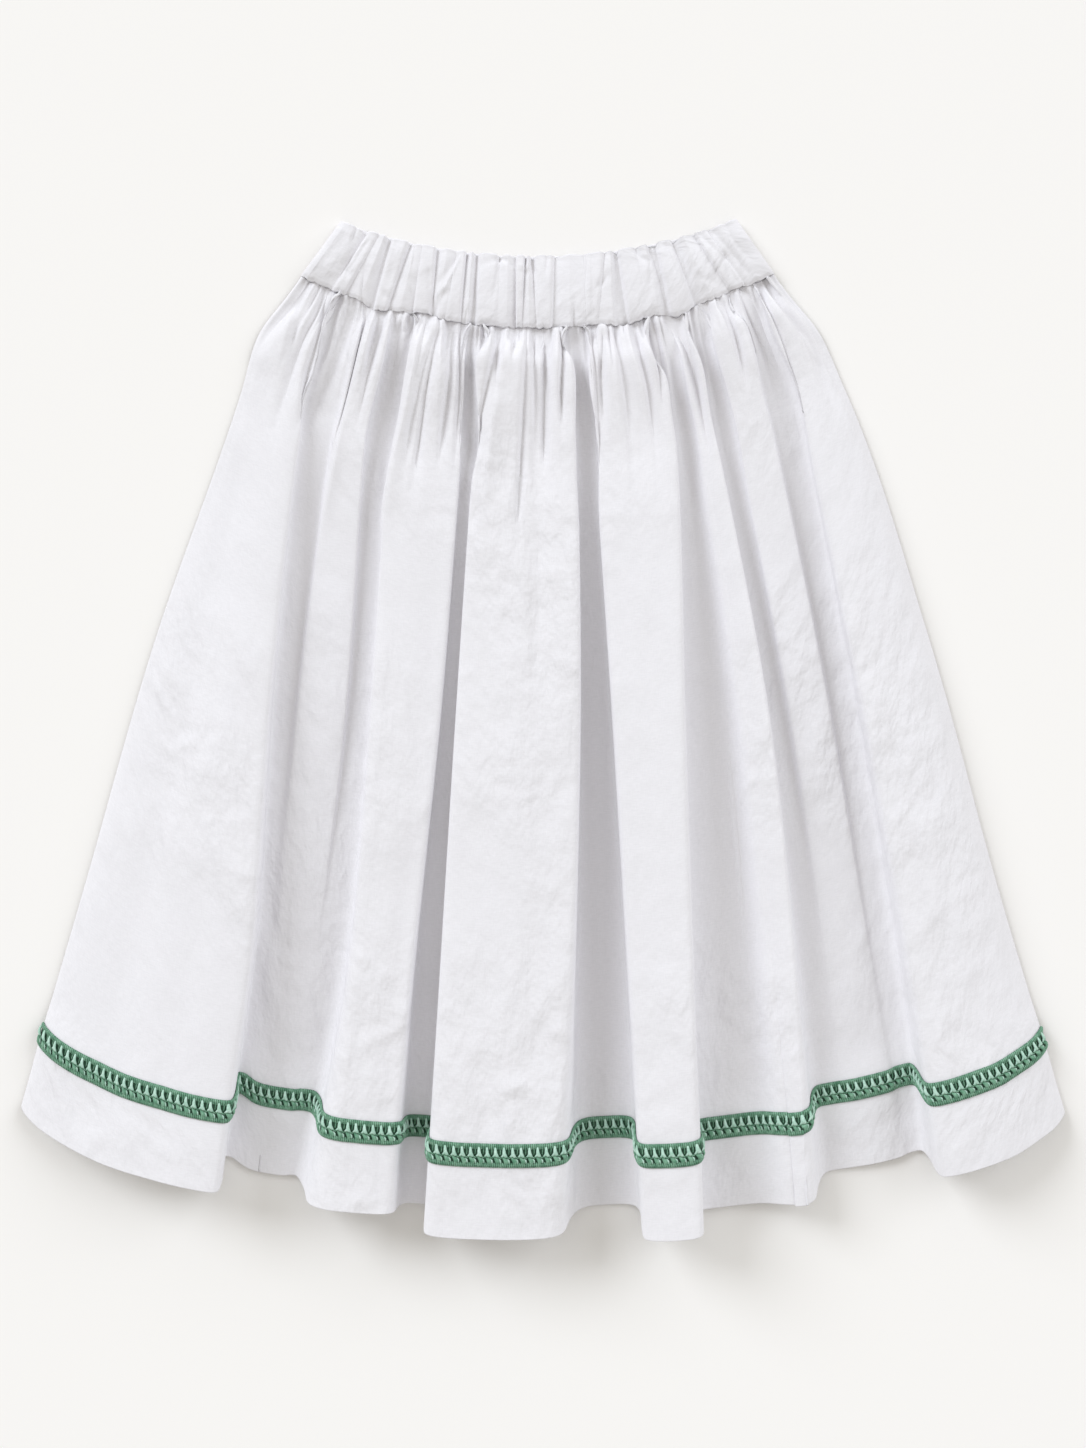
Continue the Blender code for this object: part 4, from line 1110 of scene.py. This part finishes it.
# %% Rows up the outside of the casing, over its top edge and down its inside
OUTER_SHARES = np.concatenate([
    [0.0, 0.012, 0.025, 0.045], np.linspace(0.07, 0.93, 19), [0.955, 0.975, 0.99, 1.0],
])
TOP_TURNS, TOP_ROUND = (0.25, 0.5, 0.75), 0.02
INNER_SHARES = (1.0, 0.75, 0.5, 0.25, 0.0)

band_rows = []
for share in OUTER_SHARES:
    section = band_section(share)
    band_rows.append(band_place(share, section, section["angle"], section["height"]))
section = band_section(1.0)
inner_angle, inner_height = inner_outline(section)
for turned in TOP_TURNS:
    lift = TOP_ROUND * math.sin(math.pi * turned)
    mixed_angle = section["angle"] + (inner_angle - section["angle"]) * turned
    mixed_height = section["height"] + (inner_height - section["height"]) * turned
    band_rows.append(band_place(1.0 + lift, section, mixed_angle, mixed_height))
for share in INNER_SHARES:
    section = band_section(share)
    inner_angle, inner_height = inner_outline(section)
    band_rows.append(band_place(share, section, inner_angle, inner_height))
print("rows of the casing:", len(band_rows))

# %% Casing: close the ring and keep its UV map through the merge
band_points = np.stack(band_rows + band_rows[:1])
band_points = np.concatenate([band_points, band_points[:, :1]], axis=1)
band = grid_on(band_points)
across, along = cloth_uv(band_points).reshape(*band_points.shape[:2], 2).transpose(2, 0, 1)
# Half way around, the map runs back, so that it has no jump where the ring closes
across = across - across[:, :1]
across, along = np.minimum(across, across[:, -1:] - across), np.minimum(along, along[-1] - along)
layer = band.verts.layers.float_vector.new("cloth_place")
for vertex, spot in zip(band.verts, np.stack([across, along], -1).reshape(-1, 2)):
    vertex[layer] = (*spot, 0.0)
bmesh.ops.remove_doubles(band, verts=band.verts[:], dist=1e-7)
bmesh.ops.recalc_face_normals(band, faces=band.faces[:])
band_uv = np.array([vertex[layer][:2] for vertex in band.verts])
waistband_cloth = finish_piece(
    band, "waistband_cloth", [cotton_waistband], "waistband", uv=band_uv
)

# %% [markdown]
# ## Braid
# The braid is crocheted in green yarn. Seen close, it has a ribbed edge, a ladder of pale rungs
# that flare at their foot, a scalloped line under them, slanting lobes and a ribbed lower edge,
# and all of it repeats about every 6 mm. It could be one strip with a bump texture, but the rungs
# stand free and cast shadows. So one repeat is made flat from short lengths of yarn, the repeats
# are joined into a strip, and the strip is bent onto the cloth, as the real one is sewn.

# %% Yarn materials
YARN_FINISH = {"Roughness": 0.72, "Sheen Weight": 0.3, "Sheen Roughness": 0.4}
YARN_RELIEF = 0.12
# Dark and light colour of each of the three greens; the darkest is used only on the sheet under the repeats,
# where it is dark yarn and painted shade between the stitches
YARN_SHADES = {
    "dark_yarn_and_painted_shade": ((0.010, 0.055, 0.026, 1.0), (0.022, 0.095, 0.048, 1.0)),
    "yarn_middle": ((0.075, 0.220, 0.130, 1.0), (0.230, 0.430, 0.300, 1.0)),
    "yarn_light": ((0.330, 0.560, 0.440, 1.0), (0.560, 0.760, 0.660, 1.0)),
}
twist, twist_in, twist_out = new_group(
    "yarn fibres", [("Strip", VECTOR)], [("Shade", FLOAT), ("Height", FLOAT)]
)
fibre = streaks(twist, twist_in.outputs["Strip"], (2400.0, 900.0, 1.0), 2.0)
batch = streaks(twist, twist_in.outputs["Strip"], (230.0, 230.0, 1.0), 1.0)
twist.links.new(blended(twist, fibre, batch, "MULTIPLY"), twist_out.inputs["Shade"])
twist.links.new(fibre, twist_out.inputs["Height"])


def yarn_material(name, suffix):
    """Matte twisted yarn in one of the three greens; the darkest, on the sheet under the repeats, is dark
    yarn and painted shade.
    """
    made, tree, shader, where = soft_material(name + suffix, YARN_FINISH)
    fibres = add_node(tree, "ShaderNodeGroup", {"node_tree": twist})
    bump = add_node(tree, "ShaderNodeBump", values={"Strength": 1.0, "Distance": YARN_RELIEF * METRE})
    tree.links.new(where.outputs["UV"], fibres.inputs["Strip"])
    two_colours(tree, fibres.outputs["Shade"], 0.12, 0.42, *YARN_SHADES[name], shader)
    tree.links.new(fibres.outputs["Height"], bump.inputs["Height"])
    tree.links.new(bump.outputs["Normal"], shader.inputs["Normal"])
    return made


print("yarn shades:", list(YARN_SHADES))

# %% A length of yarn


def yarn(made, path, radii, sides, look, flatten=0.8):
    """A length of yarn along a path: a grid rolled into a tube, thicker or thinner along its way."""
    path = np.asarray(path, float)
    radii = np.interp(np.linspace(0, 1, len(path)), np.linspace(0, 1, len(radii)), radii)
    way = np.gradient(path, axis=0)
    way = way / np.linalg.norm(way, axis=-1, keepdims=True)
    side = np.cross(way, (0.0, 0.0, 1.0))
    side = side / np.maximum(np.linalg.norm(side, axis=-1, keepdims=True), 1e-6)
    rise = np.cross(side, way)
    turn = np.linspace(0.0, 2.0 * math.pi, sides + 1)
    ring = side[:, None] * np.cos(turn)[None, :, None] + flatten * rise[:, None] * np.sin(turn)[None, :, None]
    points = path[:, None] + ring * radii[:, None, None]
    tube = bmesh.ops.create_grid(made, x_segments=sides, y_segments=len(path) - 1, size=1.0)["verts"]
    for vertex, point in zip(tube, points.reshape(-1, 3)):
        vertex.co = point
    for face in {face for vertex in tube for face in vertex.link_faces}:
        face.material_index = look
        face.smooth = True
    bmesh.ops.remove_doubles(made, verts=tube, dist=1e-5)


def arc(points, steps):
    """A smooth path through a few places."""
    points = np.asarray(points, float)
    levels = np.arange(len(points), dtype=float)
    at = np.linspace(0.0, len(points) - 1.0, steps)
    return np.stack([through(levels, points[:, k], at) for k in range(3)], -1)


print("points of an arc of five steps:", arc(((0, 0, 0), (1, 1, 0), (2, 0, 0)), 5).round(2).tolist())

# %% One repeat of the braid, flat: places along, across and up, in millimetres
PITCH, BRAID_WIDTH = 6.25, 20.0
# Slots of the three greens; the dark one is only the sheet under the repeats, dark yarn with painted shade
DARK, MIDDLE, LIGHT = 0, 1, 2
RIBS = 4
# One row for each yarn: its places, steps, radii, sides, green and how flat it is pressed
YARNS = (
    # the rung, its spread foot, and the thin yarn between two rungs
    (((0.7, 3.0, 1.3), (0.8, 5.0, 2.0), (1.1, 7.8, 2.2), (2.1, 10.0, 1.9), (3.4, 10.9, 1.2)),
     7, (0.7, 1.05, 1.3, 1.5, 0.5), 6, LIGHT, 0.8),
    (((1.2, 7.2, 1.9), (0.3, 9.6, 1.9), (-1.1, 10.7, 1.2)), 5, (0.9, 1.1, 0.4), 5, LIGHT, 0.8),
    (((4.4, 3.4, 0.7), (4.6, 6.4, 0.9), (4.4, 9.0, 0.6)), 4, (0.45, 0.5, 0.4), 4, MIDDLE, 0.8),
    # the scalloped line, and the two slanting lobes under it
    (((-0.6, 11.4, 1.3), (1.6, 10.6, 1.7), (3.4, 11.0, 1.7), (5.4, 12.0, 1.3)),
     6, (0.4, 0.7, 0.7, 0.4), 5, MIDDLE, 0.8),
    (((0.4, 11.6, 1.2), (2.2, 13.2, 1.9), (3.0, 15.2, 1.9), (2.9, 17.4, 1.1)),
     7, (0.7, 1.6, 1.7, 0.8), 7, MIDDLE, 0.6),
    (((3.2, 12.2, 1.1), (4.6, 13.9, 1.6), (5.2, 16.4, 1.2)), 5, (0.4, 0.9, 0.5), 5, LIGHT, 0.6),
)

repeat = bmesh.new()
for k in range(RIBS):
    x = PITCH * (k + 0.5) / RIBS
    upper_rib = arc(((x - 0.2, 0.2, 0.5), (x, 1.6, 1.5), (x + 0.15, 4.6, 1.0)), 5)
    lower_rib = arc(((x - 0.5, 15.6, 1.0), (x, 17.6, 1.5), (x + 0.2, 19.8, 0.5)), 5)
    yarn(repeat, upper_rib, (0.55, 0.8, 0.6), 5, MIDDLE)
    yarn(repeat, lower_rib, (0.6, 0.8, 0.5), 5, MIDDLE)
for places, steps, radii, sides, green, pressed in YARNS:
    yarn(repeat, arc(places, steps), radii, sides, green, pressed)
repeat_mesh = bpy.data.meshes.new("one_repeat")
repeat.to_mesh(repeat_mesh)
print("faces in one repeat:", len(repeat.faces))
repeat.free()

# %% A flat strip of repeats on a dark sheet, which is dark yarn and painted shade between the stitches
END_ROOM = 0.5  # from the panel's side edge to the first repeat
# The dark sheet is shorter and narrower than the strip, lies at a height in it, and has a few faces; it
# paints the shade deep between the stitches as well as the dark yarn
DARK_SHEET_SHORT, DARK_SHEET_NARROW, DARK_SHEET_HEIGHT = 0.6, 0.8, 0.55
DARK_SHEET_COLUMNS, DARK_SHEET_ROWS = 4, 8


def flat_braid(length, name):
    """The repeats, side by side, with the dark sheet that shows between them: dark yarn and painted shade."""
    count = int(round((length - 2 * END_ROOM) / PITCH))
    pitch = (length - 2 * END_ROOM) / count
    strip = bmesh.new()
    for k in range(count):
        known = len(strip.verts)
        strip.from_mesh(repeat_mesh)
        strip.verts.ensure_lookup_table()
        fresh = strip.verts[known:]
        bmesh.ops.scale(strip, vec=(pitch / PITCH, 1.0, 1.0), verts=fresh)
        bmesh.ops.translate(strip, vec=(END_ROOM + k * pitch, 0.0, 0.0), verts=fresh)
    dark_sheet = bmesh.ops.create_grid(
        strip, x_segments=count * DARK_SHEET_COLUMNS, y_segments=DARK_SHEET_ROWS, size=0.5
    )["verts"]
    bmesh.ops.scale(strip, vec=(length - DARK_SHEET_SHORT, BRAID_WIDTH - DARK_SHEET_NARROW, 1.0), verts=dark_sheet)
    bmesh.ops.translate(strip, vec=(length / 2.0, BRAID_WIDTH / 2.0, DARK_SHEET_HEIGHT), verts=dark_sheet)
    # The sheet takes the darkest green: painted shade between the stitches, and dark yarn
    for face in {face for vertex in dark_sheet for face in vertex.link_faces}:
        face.material_index = DARK
        face.smooth = True
    print(name, "repeats:", count, "length:", round(length, 1), "mm")
    return strip


# %% The strip bent onto a panel
# Rows of the cloth that are read under the braid, steps of each, and the yarn's least height
BRAID_ROWS, BRAID_STEPS, LEAST_HEIGHT = 11, 6, 0.02


def braid_piece(name, surface, node, outwards, suffix, height):
    """Bend a strip of braid onto the cloth, between the distances where its two edges lie."""
    rows = surface(np.linspace(TRIM_FROM, TRIM_TO, BRAID_ROWS), BRAID_STEPS)
    normal = normals(rows) * outwards
    middle_row = rows[BRAID_ROWS // 2]
    steps = np.linalg.norm(np.diff(middle_row, axis=0), axis=-1)
    run = np.concatenate([[0.0], np.cumsum(steps)])
    strip = flat_braid(run[-1], name)
    flat = np.array([vertex.co for vertex in strip.verts])
    # Column and row of the cloth under each vertex, with the part of the way to the next
    column = np.clip(np.interp(flat[:, 0], run, np.arange(len(run))), 0, len(run) - 1.001)
    line = np.clip(flat[:, 1] / BRAID_WIDTH * (BRAID_ROWS - 1.0), 0.0, BRAID_ROWS - 1.001)
    c, r = column.astype(int), line.astype(int)
    u, v = (column - c)[:, None], (line - r)[:, None]

    def read(grid):
        """What the grid holds under each vertex, between its rows and columns."""
        upper = grid[r, c] * (1 - u) + grid[r, c + 1] * u
        lower = grid[r + 1, c] * (1 - u) + grid[r + 1, c + 1] * u
        return upper * (1 - v) + lower * v

    bent = read(rows) + read(normal) * (flat[:, 2:] * height)
    bent[:, 2] = np.maximum(bent[:, 2], LEAST_HEIGHT)
    for vertex, point in zip(strip.verts, bent):
        vertex.co = point * METRE
    looks = [yarn_material(shade, suffix) for shade in YARN_SHADES]
    return finish_piece(strip, name, looks, node, uv=flat[:, :2] * METRE)


braid_front = braid_piece("braid_front_yarn", front_surface, "trim_front", 1.0, "_front", 1.0)
braid_back = braid_piece("braid_back_yarn", back_surface, "trim_back", -1.0, "_back", 0.8)
